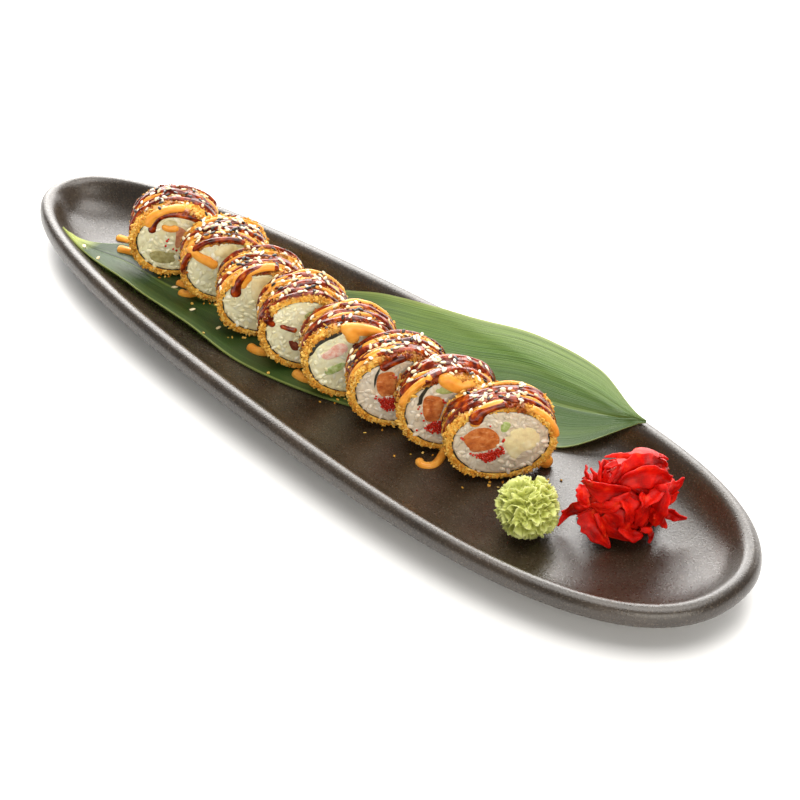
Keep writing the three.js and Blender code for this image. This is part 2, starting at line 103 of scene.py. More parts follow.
def weld_and_face_out():
    bpy.ops.mesh.remove_doubles(threshold=0.005 * MM)
    face_out()


def applied(obj, kind, **settings):
    only(obj)
    modifier = obj.modifiers.new(kind.title(), kind)
    for name, value in settings.items():
        setattr(modifier, name, value)
    bpy.ops.object.modifier_apply(modifier=modifier.name)


def joined(objs, name):
    bpy.ops.object.select_all(action="DESELECT")
    for obj in objs:
        obj.select_set(True)
    bpy.context.view_layer.objects.active = objs[0]
    bpy.ops.object.join()
    return added(name)


def flat_sheet(name, along_steps, across_steps):
    """A flat grid to bend, and where each point lies along and across it, from -1 to 1."""
    bpy.ops.mesh.primitive_grid_add(x_subdivisions=along_steps, y_subdivisions=across_steps, size=2)
    sheet = added(name)
    along, across = points_of(sheet)[:, :2].T * MM
    return sheet, along, across


# %% Uneven relief and repeated small things
def lumps(points, size, seed=0):
    """Smooth random relief between -1 and 1, with lumps of about the given size."""
    table = np.random.default_rng(seed).uniform(-1, 1, (32, 32, 32))
    at = np.asarray(points, float) / size
    cell = np.floor(at).astype(int)
    part = at - cell
    part = part * part * (3 - 2 * part)
    total = np.zeros(len(at))
    for corner in np.ndindex(2, 2, 2):
        weight = np.prod(np.where(corner, part, 1 - part), axis=1)
        total += weight * table[tuple(((cell + corner) % 32).T)]
    return total


def model_of(obj):
    """Points and triangles of a small model, which is then taken away."""
    points = points_of(obj)
    corners = np.empty(len(obj.data.loops), int)
    obj.data.loops.foreach_get("vertex_index", corners)
    bpy.data.objects.remove(obj)
    return points, corners.reshape(-1, 3)


def random_turns(draw, count):
    """Turn matrices that point every way alike."""
    w, x, y, z = unit_long(draw.normal(size=(4, count)).T).T
    rows = [[1 - 2 * (y * y + z * z), 2 * (x * y - z * w), 2 * (x * z + y * w)],
            [2 * (x * y + z * w), 1 - 2 * (x * x + z * z), 2 * (y * z - x * w)],
            [2 * (x * z - y * w), 2 * (y * z + x * w), 1 - 2 * (x * x + y * y)]]
    return np.array(rows).transpose(2, 0, 1)


def turns_towards(draw, normals, wobble):
    """Turn matrices whose third axis lies near each normal, with the first axis at random."""
    up = unit_long(normals + wobble * draw.normal(size=normals.shape))
    side = unit_long(np.cross(up, draw.normal(size=normals.shape)))
    return np.stack([side, np.cross(up, side), up], axis=2)


def copies(name, models, places, turns, sizes, draw):
    """One mesh of many copies of small models, each with a shade of its own."""
    count = len(places)
    which = draw.integers(0, len(models), count)
    shapes = np.array([points for points, _ in models])[which] * sizes[:, None, :]
    points = np.einsum("nij,nkj->nki", turns, shapes) + places[:, None, :]
    triangles = models[0][1][None] + (np.arange(count) * shapes.shape[1])[:, None, None]
    mesh = bpy.data.meshes.new(name)
    mesh.vertices.add(points.shape[0] * points.shape[1])
    mesh.loops.add(triangles.size)
    mesh.polygons.add(triangles.size // 3)
    mesh.loops.foreach_set("vertex_index", triangles.ravel())
    mesh.polygons.foreach_set("loop_start", np.arange(0, triangles.size, 3))
    obj = bpy.data.objects.new(name, mesh)
    bpy.context.collection.objects.link(obj)
    place_points(obj, points.reshape(-1, 3))
    mesh.update(calc_edges=True)
    keep_values(obj, "shade", np.repeat(draw.random(count), shapes.shape[1]))
    return only(obj)


def keep_values(obj, name, values):
    """Stores one number per point, for the material to read."""
    layer = obj.data.attributes.get(name) or obj.data.attributes.new(name, "FLOAT", "POINT")
    layer.data.foreach_set("value", np.asarray(values, np.float32))


# %% [markdown]
# ## Helpers for finishes
# Every finish is a Principled shader fed by noise in Object coordinates, so a lump of colour
# has a true size in millimetres. A number that is the same all over sits on the shader's own
# socket. Image textures would be another way, but noise stays sharp at any distance.

# %% Colours and nodes
def colour(hexa):
    channels = [int(hexa[i:i + 2], 16) / 255 for i in (0, 2, 4)]
    return tuple(c / 12.92 if c <= 0.04045 else ((c + 0.055) / 1.055) ** 2.4 for c in channels) + (1,)


class Finish:
    """A Principled material, with short ways to feed its sockets."""

    def __init__(self, name, **numbers):
        self.material = bpy.data.materials.new(name)
        self.material.use_nodes = True
        self.tree = self.material.node_tree
        self.shader = self.tree.nodes["Principled BSDF"]
        self.shader.inputs["Subsurface Radius"].default_value = (1, 0.85, 0.7)
        for socket, value in numbers.items():
            self.shader.inputs[socket.replace("_", " ")].default_value = value

    def node(self, kind, **settings):
        made = self.tree.nodes.new(kind)
        for name, value in settings.items():
            setattr(made, name, value)
        return made

    def link(self, out, socket):
        self.tree.links.new(out, socket)

    def noise(self, size, detail=3, rough=0.55, stretch=(1, 1, 1), coords="Object"):
        place = self.node("ShaderNodeTexCoord")
        mapping = self.node("ShaderNodeMapping")
        mapping.inputs["Scale"].default_value = stretch
        made = self.node("ShaderNodeTexNoise")
        made.inputs["Scale"].default_value = 1 / (size * MM) if coords == "Object" else 1 / size
        made.inputs["Detail"].default_value = detail
        made.inputs["Roughness"].default_value = rough
        self.link(place.outputs[coords], mapping.inputs["Vector"])
        self.link(mapping.outputs[0], made.inputs["Vector"])
        return made.outputs[0]

    def kept(self, name):
        return self.node("ShaderNodeAttribute", attribute_name=name).outputs["Fac"]

    def ramp(self, value, stops):
        made = self.node("ShaderNodeValToRGB")
        for extra in range(len(stops) - 2):
            made.color_ramp.elements.new(0.5)
        for element, (place, hexa) in zip(made.color_ramp.elements, stops):
            element.position = place
            element.color = colour(hexa)
        self.link(value, made.inputs[0])
        return made.outputs[0]

    def mask(self, value, low, high):
        """0 under low, 1 over high."""
        made = self.node("ShaderNodeMapRange")
        made.inputs["From Min"].default_value = low
        made.inputs["From Max"].default_value = high
        self.link(value, made.inputs["Value"])
        return made.outputs[0]

    def math(self, operation, a, b):
        made = self.node("ShaderNodeMath", operation=operation, use_clamp=True)
        for socket, value in zip(made.inputs, (a, b)):
            if isinstance(value, (int, float)):
                socket.default_value = value
            else:
                self.link(value, socket)
        return made.outputs[0]

    def mix(self, share, first, second):
        made = self.node("ShaderNodeMix", data_type="RGBA")
        for index, value in ((0, share), (6, first), (7, second)):
            if isinstance(value, (int, float, tuple)):
                made.inputs[index].default_value = value
            else:
                self.link(value, made.inputs[index])
        return made.outputs[2]

    def tinted(self, body, where, share, hexa):
        """The body's colour with a share of another over it where a mask says so."""
        return self.mix(self.math("MULTIPLY", where, share), body, colour(hexa))

    def kept_and_noise(self, name, share, noise, noise_share):
        """The sum of a kept value and a noise, each times its share."""
        return self.math("ADD", self.math("MULTIPLY", self.kept(name), share),
                         self.math("MULTIPLY", noise, noise_share))

    def paint(self, out):
        self.link(out, self.shader.inputs["Base Color"])
        return self

    def gloss(self, value, smooth, rough):
        made = self.node("ShaderNodeMapRange")
        made.inputs["To Min"].default_value = smooth
        made.inputs["To Max"].default_value = rough
        self.link(value, made.inputs["Value"])
        self.link(made.outputs[0], self.shader.inputs["Roughness"])
        return self

    def relief(self, height, depth, strength=1.0):
        made = self.node("ShaderNodeBump")
        made.inputs["Strength"].default_value = strength
        made.inputs["Distance"].default_value = depth * MM
        self.link(height, made.inputs["Height"])
        self.link(made.outputs[0], self.shader.inputs["Normal"])
        return self


def finished(obj, finish, nodes=(), angle=None):
    """Gives a piece its finish and smooth shading, hangs it on the root, and hides the solids it stands
    for.
    """
    obj.data.materials.clear()
    obj.data.materials.append(finish.material)
    only(obj)
    if angle is None:
        bpy.ops.object.shade_smooth()
    else:
        bpy.ops.object.shade_smooth_by_angle(angle=math.radians(angle))
    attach(obj, "root")
    if nodes:
        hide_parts(*nodes)
    print(obj.name, "faces:", len(obj.data.polygons))
    return obj


# %% [markdown]
# ## The plate
# The plate is thick stoneware in the outline of a long drop, with a rounded lip and a bowl
# that runs out into a flat floor. A lathe could turn a round plate, but this outline isn't
# round, so a ring is extruded over and over and each new ring is placed on the outline at the
# next step of the cross-section.

# %% Outline and cross-section of the plate
PLATE_LENGTH, PLATE_WIDTH, PLATE_HEIGHT = 400, 110.1, 20
WIDENING, FULLNESS, SQUARENESS = 0.2293, 0.1316, 2.236
FLOOR_Z, FLOOR_INSET, CREST_INSET, FOOT_INSET = 6.2, 34, 4.6, 29
PLATE_SIDES = 200
INNER_POINTS = 19  # of the cross-section, from the crest of the lip to the floor


def bezier(points, steps):
    a, b, c, d = (np.array(p, float) for p in points)
    t = np.linspace(0, 1, steps + 1)[1:, None]
    return (1 - t) ** 3 * a + 3 * t * (1 - t) ** 2 * b + 3 * t * t * (1 - t) * c + t ** 3 * d


PLATE_SECTION = np.vstack([
    [(FOOT_INSET, 0), (FOOT_INSET - 3, 0.8)],
    bezier([(26, 0.8), (20, 5), (1, 8.5), (0, 14.5)], 10),
    bezier([(0, 14.5), (0, 18.4), (1.8, 20), (CREST_INSET, PLATE_HEIGHT)], 8),
    bezier([(CREST_INSET, PLATE_HEIGHT), (8.4, 20), (9.4, 15), (13, 11.8)], 9),
    bezier([(13, 11.8), (17, 8.2), (23, 6.9), (FLOOR_INSET, FLOOR_Z)], 9),
])
print("points of the plate's cross-section:", len(PLATE_SECTION))


def half_width(along):
    return PLATE_WIDTH / 2 * (1 + WIDENING * along + FULLNESS * along ** 2)


def plate_ring(inset, z, share=1.0):
    angle = np.linspace(0, 2 * np.pi, PLATE_SIDES, endpoint=False)
    power = 2 / SQUARENESS
    along = np.sign(np.cos(angle)) * np.abs(np.cos(angle)) ** power
    across = np.sign(np.sin(angle)) * np.abs(np.sin(angle)) ** power
    x = (PLATE_LENGTH / 2 - inset) * along * share
    y = (half_width(along) - inset) * across * share
    return np.stack([x, y, np.full_like(x, z)], axis=1)


# %% Extrude the plate ring by ring
def plate():
    bpy.ops.mesh.primitive_circle_add(vertices=PLATE_SIDES, radius=0.1)
    obj = added("stoneware_plate")
    rings = [plate_ring(FOOT_INSET, 0, share) for share in (0.5, 0.85)]
    rings += [plate_ring(inset, z) for inset, z in PLATE_SECTION]
    rings += [plate_ring(FLOOR_INSET, FLOOR_Z, share) for share in (0.9, 0.7, 0.45, 0.2)]
    bpy.ops.object.mode_set(mode="EDIT")
    bpy.ops.mesh.select_all(action="SELECT")
    for _ in rings[1:]:
        bpy.ops.mesh.extrude_region_move()
    bpy.ops.object.mode_set(mode="OBJECT")
    place_points(obj, np.vstack(rings))
    return edited(
        obj, bpy.ops.mesh.region_to_loop, bpy.ops.mesh.select_non_manifold,
        lambda: bpy.ops.mesh.fill_holes(sides=0),
        lambda: bpy.ops.mesh.select_all(action="SELECT"),
        face_out)


# %% Stoneware glaze
def stoneware():
    finish = Finish("stoneware", Specular_IOR_Level=0.72)
    cloud = finish.noise(26, 4, 0.6)
    speck = finish.noise(0.7, 2, 0.6)
    body = finish.ramp(cloud, [(0.3, "221910"), (0.5, "2c2217"), (0.72, "382c20")])
    dots = finish.mask(speck, 0.58, 0.7)
    finish.paint(finish.tinted(body, dots, 0.45, "75685a"))
    finish.gloss(finish.noise(1.3, 3, 0.6), 0.2, 0.38)
    return finish.relief(finish.noise(0.9, 3, 0.7), 0.12, 1.0)


plate_piece = finished(plate(), stoneware(), ["plate"])

# %% [markdown]
# ## The leaf
# One long leaf lies under the row. It follows the plate's floor, climbs over the lip at the
# back, and lifts a little along its front edge. Cloth simulation could drape it, but a leaf is
# stiff along its veins, so its middle surface is placed by the same rule as the solid's, and a
# Solidify modifier gives it the thickness.

# %% The leaf's line and resting height
LEAF_LENGTH, LEAF_THICKNESS = 288, 0.6
LEAF_TIP, LEAF_TURN = (-168, -22), math.radians(15.3)
LEAF_HALF_WIDTHS = [2.5, 14, 17.5, 23, 29.5, 32, 31, 28, 23, 16.2, 0.5]
LEAF_MIDRIB = [2.5, 5, -1, -3.5, -4.5, -5, -5, -3, 0.2, -1.2, -2]
LEAF_GAP, LEAF_RIPPLE, LEAF_EDGE_LIFT = 0.6, 0.2, 3.2
# where it leaves the floor, how it bends up from there, and how it passes the plate's crest
BEND_INSET, BEND, CREST_LIFT, SLOPE = 32, 1.35, 0.5, 0.5


def along_curve(values, share):
    """Values on a smooth curve through evenly spaced ones."""
    values = np.array(values, float)
    at = np.clip(share, 0, 1) * (len(values) - 1)
    i = np.minimum(np.floor(at).astype(int), len(values) - 2)
    t = at - i
    before, start, end, after = (values[np.clip(i + k, 0, len(values) - 1)] for k in (-1, 0, 1, 2))
    rise, fall = (end - before) / 2, (after - start) / 2
    return ((2 * start - 2 * end + rise + fall) * t ** 3
            + (-3 * start + 3 * end - 2 * rise - fall) * t ** 2 + rise * t + start)


def smooth(low, high, value):
    t = np.clip((value - low) / (high - low), 0, 1)
    return t * t * (3 - 2 * t)


def inset_at(x, y):
    low, high = np.full_like(x, -30.0), np.full_like(x, FLOOR_INSET + 4.0)
    for _ in range(24):
        inset = (low + high) / 2
        t = x / (PLATE_LENGTH / 2 - inset)
        width = half_width(np.clip(t, -1, 1)) - inset
        outside = np.abs(t) ** SQUARENESS + np.abs(y / width) ** SQUARENESS > 1
        high = np.where(outside, inset, high)
        low = np.where(outside, low, inset)
    return low


def plate_top(inset):
    inner = PLATE_SECTION[-INNER_POINTS:]
    return np.interp(inset, inner[:, 0], inner[:, 1], left=PLATE_HEIGHT, right=FLOOR_Z)


def leaf_underside(x, y):
    inset = inset_at(x, y)
    top = plate_top(inset)
    way = np.maximum(0, BEND_INSET - inset) / (BEND_INSET - CREST_INSET)
    over = PLATE_HEIGHT + CREST_LIFT
    climb = np.where(inset > CREST_INSET, FLOOR_Z + (over - FLOOR_Z) * way ** BEND,
                     over + SLOPE * (CREST_INSET - inset))
    back = (y > 0) * smooth(-70, -15, x) * np.maximum(0, climb - top)
    front = LEAF_EDGE_LIFT * smooth(11, 24, -y) * smooth(-160, -120, x) * (1 - smooth(-85, -45, x))
    ripple = LEAF_RIPPLE * (1 + np.sin(x / 9 + y / 14)) * smooth(20, 34, np.abs(y))
    return top + LEAF_GAP + back + front + ripple


# %% Lay the leaf
def leaf():
    obj, t, across = flat_sheet("green_leaf", 230, 40)
    t = (t + 1) / 2
    side = along_curve(LEAF_MIDRIB, t) + across * along_curve(LEAF_HALF_WIDTHS, t)
    s = t * LEAF_LENGTH
    x = LEAF_TIP[0] + s * math.cos(LEAF_TURN) - side * math.sin(LEAF_TURN)
    y = LEAF_TIP[1] + s * math.sin(LEAF_TURN) + side * math.cos(LEAF_TURN)
    z = leaf_underside(x, y) + LEAF_THICKNESS / 2
    crease = -0.35 * np.exp(-(across / 0.035) ** 2) + 0.12 * np.sin(across * 70) * (1 - np.abs(across))
    wave = 0.25 * lumps(np.stack([x, y, 0 * x], 1), 16, 5)
    place_points(obj, np.stack([x, y, z + np.maximum(crease + wave, -0.4)], axis=1))
    applied(obj, "SOLIDIFY", thickness=LEAF_THICKNESS * MM, offset=0)
    return edited(obj, face_out)


# %% Leaf finish
def leaf_green():
    finish = Finish("leaf_green", Subsurface_Weight=0.05)
    place = finish.node("ShaderNodeTexCoord")
    split = finish.node("ShaderNodeSeparateXYZ")
    finish.link(place.outputs["UV"], split.inputs[0])
    along, across = split.outputs[0], split.outputs[1]
    veins = finish.noise(1, 3, 0.6, (3, 150, 1), "UV")
    bands = finish.noise(1, 2, 0.5, (1.6, 16, 1), "UV")
    # The left stretch is painted darker than the right, as painted shade near the row. Across it, the back
    # half behind the midrib is painted darkest as painted shade, and the lifted front half a little lighter
    # as a painted highlight.
    front = finish.ramp(across, [
        (0.0, "93a054"), (0.02, "30481a"), (0.25, "1f3610"), (0.46, "274216"), (0.492, "738440"),
        (0.512, "14290b"), (0.75, "152c0c"), (0.975, "203712"), (1.0, "66783a")])
    # The right stretch's back half is painted lighter towards the back edge, where the leaf climbs the lip:
    # a painted highlight.
    back = finish.ramp(across, [
        (0.0, "8c9c52"), (0.02, "435f28"), (0.3, "436228"), (0.47, "3d5922"), (0.5, "667c36"),
        (0.54, "3e5a20"), (0.8, "5a7a2e"), (0.97, "748e40"), (1.0, "a0ae60")])
    body = finish.mix(finish.mask(along, 0.42, 0.6), front, back)
    body = finish.tinted(body, finish.mask(veins, 0.42, 0.62), 0.6, "284614")
    body = finish.tinted(body, finish.mask(bands, 0.5, 0.75), 0.36, "6f883c")
    tip = finish.mask(along, 0.045, 0.015)
    finish.paint(finish.mix(tip, body, colour("aeb95e")))
    finish.gloss(bands, 0.36, 0.54)
    return finish.relief(veins, 0.16, 0.9)


leaf_piece = finished(leaf(), leaf_green(), ["leaf"], angle=40)

# %% [markdown]
# ## The roll pieces
# Each piece is a slice of a fried roll: breading outside, a sheet of dark seaweed, rice, and
# strips of filling that run right through. All eight have the same build and different sizes,
# so one table gives the sizes and every layer is placed in the slice's own directions: x to
# the right along the cut face, y away from the viewer and z up.

# %% Sizes of the eight pieces
LEAN = math.radians(6)
CRUST, UNDER_SHARE, SEAWEED, ROLL_GAP = 3.3, 0.6, 0.55, 0.5
# the crumbs lie this far under the outline of each piece, and the sauce and seeds fill it
SAUCE_ROOM = [0.9, 1.4, 1.7, 0.9, 1.2, 0.9, 0.9, 0.9]


class Roll:
    def __init__(self, number, x, y, turn, width, height, thickness):
        self.number, self.x, self.y = number, x, y
        self.angle = math.radians(turn + 90)
        self.width, self.height, self.thickness = width, height, thickness
        self.half = thickness / 2
        self.room = SAUCE_ROOM[number - 1]
        rise = math.hypot(width / 2 * math.sin(LEAN), height / 2 * math.cos(LEAN))
        rest = leaf_underside(np.array([x]), np.array([y]))[0] + LEAF_THICKNESS + ROLL_GAP
        self.middle = rest + rise

    def leaned(self, across, up):
        return (across * math.cos(LEAN) - up * math.sin(LEAN),
                across * math.sin(LEAN) + up * math.cos(LEAN))

    def oval(self, angle, inset):
        share = np.where((np.sin(angle) < 0) & (np.asarray(inset) > 0), UNDER_SHARE, 1)
        return self.leaned((self.width / 2 - inset) * np.cos(angle),
                           (self.height / 2 - inset * share) * np.sin(angle))

    def to_plate(self, x, y, z):
        x, y, z = np.broadcast_arrays(np.asarray(x, float), y, z)
        return np.stack([self.x + x * math.cos(self.angle) - y * math.sin(self.angle),
                         self.y + x * math.sin(self.angle) + y * math.cos(self.angle),
                         self.middle + z], axis=-1)

    def at(self, across, y, up):
        """Places on the plate from distances along the leaning oval."""
        x, z = self.leaned(across, up)
        return self.to_plate(x, y, z)

    def on_crust(self, angle, inset, y):
        x, z = self.oval(angle, inset)
        return self.to_plate(x, y, z)

    def from_plate(self, points):
        """Across, back and up along the leaning oval."""
        dx, dy = points[:, 0] - self.x, points[:, 1] - self.y
        x = dx * math.cos(self.angle) + dy * math.sin(self.angle)
        z = points[:, 2] - self.middle
        return (x * math.cos(LEAN) + z * math.sin(LEAN),
                dy * math.cos(self.angle) - dx * math.sin(self.angle),
                z * math.cos(LEAN) - x * math.sin(LEAN))

    def sunk(self, angle):
        """How far the crumbs lie under the outline: nothing where the roll rests."""
        return self.room * smooth(-0.7, 0.1, np.sin(angle))


ROLLS = [Roll(number + 1, *sizes) for number, sizes in enumerate([
    (-124, 6, -42, 39.5, 34, 21.5), (-92.3, 7.6, -40, 40, 33, 20), (-62, 2, -40, 40, 34, 20),
    (-32, -1, -40, 39, 36.5, 20), (-4, -1.5, -40, 41, 36, 19), (24.5, -1.5, -40, 42, 35, 17.2),
    (50, 1, -41, 41, 36, 15.2), (77, 3, -41, 45, 35.5, 16.8)])]
print("rolls:", len(ROLLS), "tops at", [round(roll.middle + roll.height / 2, 1) for roll in ROLLS])

# %% [markdown]
# ## Where the sauces run
# Both sauces were poured in quick turns over the row, so they cross each piece in strands
# beside one another, and some ran down a cut face or out onto the leaf. The lines are worked
# out before the breading, because the breading is stained where the dark sauce soaks in.

# %% Lines of the strands
ORANGE, DARK = "orange_sauce", "dark_sauce"
# for each piece: sauce of the first band from the front, bands, share left free at the front
BANDS = [(DARK, 5, 0.32), (DARK, 6, 0.06), (ORANGE, 6, 0.08), (DARK, 6, 0.16), (DARK, 6, 0.2),
         (ORANGE, 6, 0.2), (DARK, 5, 0.22), (DARK, 6, 0.26)]
STRAND_POINTS = 90
STRAND_RADII = {DARK: (1.2, 1.9), ORANGE: (0.8, 1.3)}


def spline(points, step=0.8):
    """Points at even steps on a smooth curve through the given ones."""
    points = np.array(points, float)
    rough = np.linspace(0, 1, 40 * len(points))
    line = np.stack([along_curve(points[:, k], rough) for k in range(points.shape[1])], axis=1)
    length = np.concatenate([[0], np.cumsum(np.linalg.norm(np.diff(line, axis=0), axis=1))])
    even = np.linspace(0, length[-1], max(6, int(length[-1] / step)))
    return np.stack([np.interp(even, length, line[:, k]) for k in range(line.shape[1])], axis=1)


def rounded_ends(line, radius, drop=1.0):
    """Radii along a line that close in a round at both ends, the last one a drop."""
    at = np.concatenate([[0], np.cumsum(np.linalg.norm(np.diff(line[:, :3], axis=0), axis=1))])
    left = at[-1] - at
    radii = radius * (1 + (drop - 1) * np.exp(-(left / (1.6 * radius * drop)) ** 2))
    for run, end in ((at, radius), (left, radius * drop)):
        radii = radii * np.sqrt(np.clip(1 - (1 - np.clip(run / end, 0.001, 1)) ** 2, 0.0005, 1))
    return radii


def strands(roll):
    draw = np.random.default_rng(40 + roll.number)
    sauce, count, first = BANDS[roll.number - 1]
    runs = []
    for band in range(count):
        share = first + (1 - first) * (band + draw.uniform(0.2, 0.8)) / count
        for branch in range(2 if draw.random() < 0.35 else 1):
            ends = draw.uniform([-14, 150], [30, 186])
            size = draw.uniform(*STRAND_RADII[sauce])
            size *= 0.7 if branch else 1
            angle = np.radians(np.linspace(ends[1], ends[0], STRAND_POINTS))
            tilt = draw.uniform(-0.13, 0.13, 4)
            swing = share + along_curve(tilt, np.linspace(0, 1, STRAND_POINTS))
            y = np.clip((swing - 0.5) * roll.thickness, 1 - roll.half, roll.half - 0.5)
            line = roll.on_crust(angle, roll.sunk(angle) + 0.1 * size, y)
            radii = rounded_ends(line, size, 1.2)
            runs.append((sauce, line, radii * (1 + 0.5 * lumps(line, 5.5, roll.number + 7 + band))))
        sauce = ORANGE if sauce == DARK else DARK
    return runs


# %% Runs down the cut faces
# sauce, radius, size of the drop at the end, and points on the face: across, up and back
FACE_RUNS = {
    1: [(ORANGE, 2.2, 1.0, [(8, 15.6, 2.5), (2, 16.6, 1.0), (-4, 15.4, 0.4), (-8.2, 12.2, 0.5),
                            (-9.6, 8.6, 0.5)]),
        (ORANGE, 1.6, 1.0, [(-5.2, 13.6, 0.3), (-7.6, 10.2, 0.3), (-8.6, 7.8, 0.4)]),
        (DARK, 1.5, 1.4, [(13.5, 8.6, 0.4), (9, 11.6, 0.2), (3, 13.8, 0.1), (-2.6, 13.6, 0),
                          (-6.2, 11.0, 0), (-8, 7.6, 0), (-8.4, 5.6, 0)]),
        (ORANGE, 1.6, 1.25, [(-3.6, 9.2, 0.3), (-1.4, 7.0, 0.3), (1.6, 6.6, 0.4), (3.4, 7.6, 0.4)])],
    2: [(ORANGE, 2.0, 1.2, [(-14.6, 13.6, 1.2), (-11.8, 10.6, 0.3), (-9.6, 7.4, 0.3), (-6.4, 4.6, 0.4),
                            (-2.7, 1.6, 0.4)]),
        (ORANGE, 1.5, 1.2, [(-11.4, 9.8, 0.3), (-7.6, 7.0, 0.3), (-4.4, 4.4, 0.4)]),
        (DARK, 1.5, 1.0, [(-18, 2, 0.3), (-15.5, 8, 0), (-10, 13.2, 0.1), (-3, 15.4, 0.2),
                          (5, 14.8, 0.2), (11, 11.8, 0.3)])],
    3: [(ORANGE, 2.2, 1.1, [(9, 15.4, 2.4), (4, 17.0, 1.2), (-2.4, 16.0, 0.4), (-7.4, 12.6, 0.5),
                            (-10.6, 8.6, 0.5)]),
        (ORANGE, 1.8, 1.0, [(-2.4, 13.8, 0.5), (-6, 10.6, 0.5), (-7.2, 7.6, 0.6)]),
        (DARK, 1.9, 1.45, [(10, 15.0, 2.2), (4, 17.2, 1.2), (-2.3, 16.6, 0.2), (-7.2, 12.9, -0.2),
                           (-9.6, 8.4, -0.2), (-10.2, 4.2, -0.2)])],
    4: [(DARK, 1.5, 1.0, [(-16, 9.4, 0.6), (-13.4, 6.6, 0.4), (-11.4, 4.6, 0.5)]),
        (DARK, 1.1, 1.4, [(-9.8, 4.6, 0.5), (-6, 2.2, 0.4), (-2.6, 1.0, 0.3)]),
        (DARK, 1.0, 1.3, [(-14, 11.4, 0.1), (-12.8, 9.2, 0.2), (-11.9, 7.6, 0.3)])],
    5: [(ORANGE, 2.9, 1.0, [(-1.4, 17.6, 1.2), (1.4, 14.6, 0.4), (2.4, 11, 0.5), (2.9, 8.2, 0.6)]),
        (ORANGE, 2.4, 1.0, [(0.4, 16.6, 0.6), (6, 15.2, 0.2), (11, 13.0, 0.3), (15.6, 9.6, 0.4)]),
        (ORANGE, 1.8, 1.0, [(4.4, 13.6, 0.3), (9, 12.4, 0.3), (13.6, 9.6, 0.4)]),
        (DARK, 1.7, 1.15, [(2.9, 8.2, 0.3), (3.7, 5.4, 0.2)])],
    6: [(DARK, 1.9, 1.2, [(5.2, 15.4, 1.0), (1.6, 14.8, 0.2), (-2.4, 13.4, 0), (-6.4, 11.4, -0.2)])],
    7: [(ORANGE, 3.4, 1.0, [(-1.5, 17.8, 1.6), (1.8, 14.6, 0.6), (5, 12.2, 0.6), (9, 11.4, 0.6),
                            (12.4, 11.0, 0.8)]),
        (DARK, 1.3, 1.7, [(4, 19.0, 4.0), (-3, 18.2, 2.4), (-8.6, 15.6, 0.8)]),
        (ORANGE, 1.7, 1.3, [(-4, 18.0, 1.8), (-11, 14.6, 0.6), (-16.6, 8.6, 0.6), (-17.6, 5.4, 0.6)])],
    8: [(ORANGE, 2.0, 1.3, [(3.5, 18.0, 2.0), (-3, 17.8, 0.8), (-7.6, 14.6, 0.1), (-9.2, 10.4, 0.1),
                            (-9.4, 8.8, 0.1)]),
        (DARK, 2.0, 1.75, [(4.5, 17.6, 1.5), (-1.4, 17.4, 0.2), (-6.2, 15.6, -0.4), (-8.8, 12.6, -0.7),
                           (-9.6, 10.4, -0.7)]),
        (ORANGE, 1.8, 1.0, [(13, 13.6, 2.2), (18.4, 8.8, 1.4), (21.6, 2.6, 1.2), (21.8, -1.6, 1.4)])],
}


def face_runs(roll):
    runs = []
    for sauce, radius, drop, points in FACE_RUNS[roll.number]:
        across, up, back = np.array(points).T
        line = spline(roll.at(across, back - roll.half - 0.25, up))
        runs.append((sauce, line, rounded_ends(line, radius, drop)))
    return runs


# %% Tongues that ran out onto the leaf
# sauce, radius, and points on the plate with their lift over what lies there
TONGUES = [
    (ORANGE, 1.5, [(-160, 0.5, 0), (-150, 4.5, 0), (-138, 9, 4.5)]),
    (ORANGE, 1.6, [(-151, -6, 0), (-144, -3, 0.4), (-136, -1, 5)]),
    (ORANGE, 1.3, [(-112, -4, 0), (-106, -3, 0.2), (-97, 1, 3)]),
    (ORANGE, 1.4, [(-105.5, -8, 0), (-101, -7.5, 0.3), (-94, -3, 4)]),
    (DARK, 1.0, [(-102.5, -6.8, 0.9), (-100.4, -6.2, 1.0)]),
    (ORANGE, 1.6, [(-53.5, -13.5, 0), (-47, -13.5, 0.5), (-38, -10, 4)]),
    (ORANGE, 1.6, [(-26, -12.5, 0), (-19, -13, 0.5), (-10, -10, 4)]),
    (ORANGE, 1.4, [(51, -15.5, 0), (55, -17, 0), (58, -13, 0), (55, -4, 1.5)]),
    (ORANGE, 2.1, [(90.5, 19.5, 0.5), (88.5, 17, 3), (86, 12, 6)]),
]


def height_under(x, y):
    """Height of what lies at a place: the leaf, or the plate where there is no leaf."""
    for obj in (leaf_piece, plate_piece):
        hit, place, _, _ = obj.ray_cast((x * MM, y * MM, 0.1), (0, 0, -1))
        if hit:
            return place.z / MM
    return 0.0


def tongues():
    runs = []
    for sauce, radius, points in TONGUES:
        line = spline([(x, y, height_under(x, y) + lift) for x, y, lift in points][::-1])
        runs.append((sauce, line, rounded_ends(line, 1.3 * radius, 1.15)))
    return runs


RUNS = {roll.number: strands(roll) + face_runs(roll) for roll in ROLLS}
print("strands and runs of sauce:", sum(len(runs) for runs in RUNS.values()))

# %% [markdown]
# ## The breading
# Fried breading is a rough golden coat with crumbs that stick out all round. A displaced ring
# alone looks like dough, so the ring, which starts as a torus, is made lumpy and hundreds of
# small crumbs are set into it, all part of the same mesh. The crumbs are icospheres with their
# points moved at random, and are left with sharp edges.

# %% Models of the crumb, the grain, the bead and the seed
CRUMB_ROUGHNESS = 0.42  # for a crumb of radius 1


def crumb_models():
    made = []
    for seed in range(6):
        bpy.ops.mesh.primitive_ico_sphere_add(subdivisions=1, radius=MM)
        obj = edited(added("crumb"),
                     lambda: bpy.ops.transform.vertex_random(offset=CRUMB_ROUGHNESS * MM, seed=seed))
        made.append(model_of(obj))
    return made


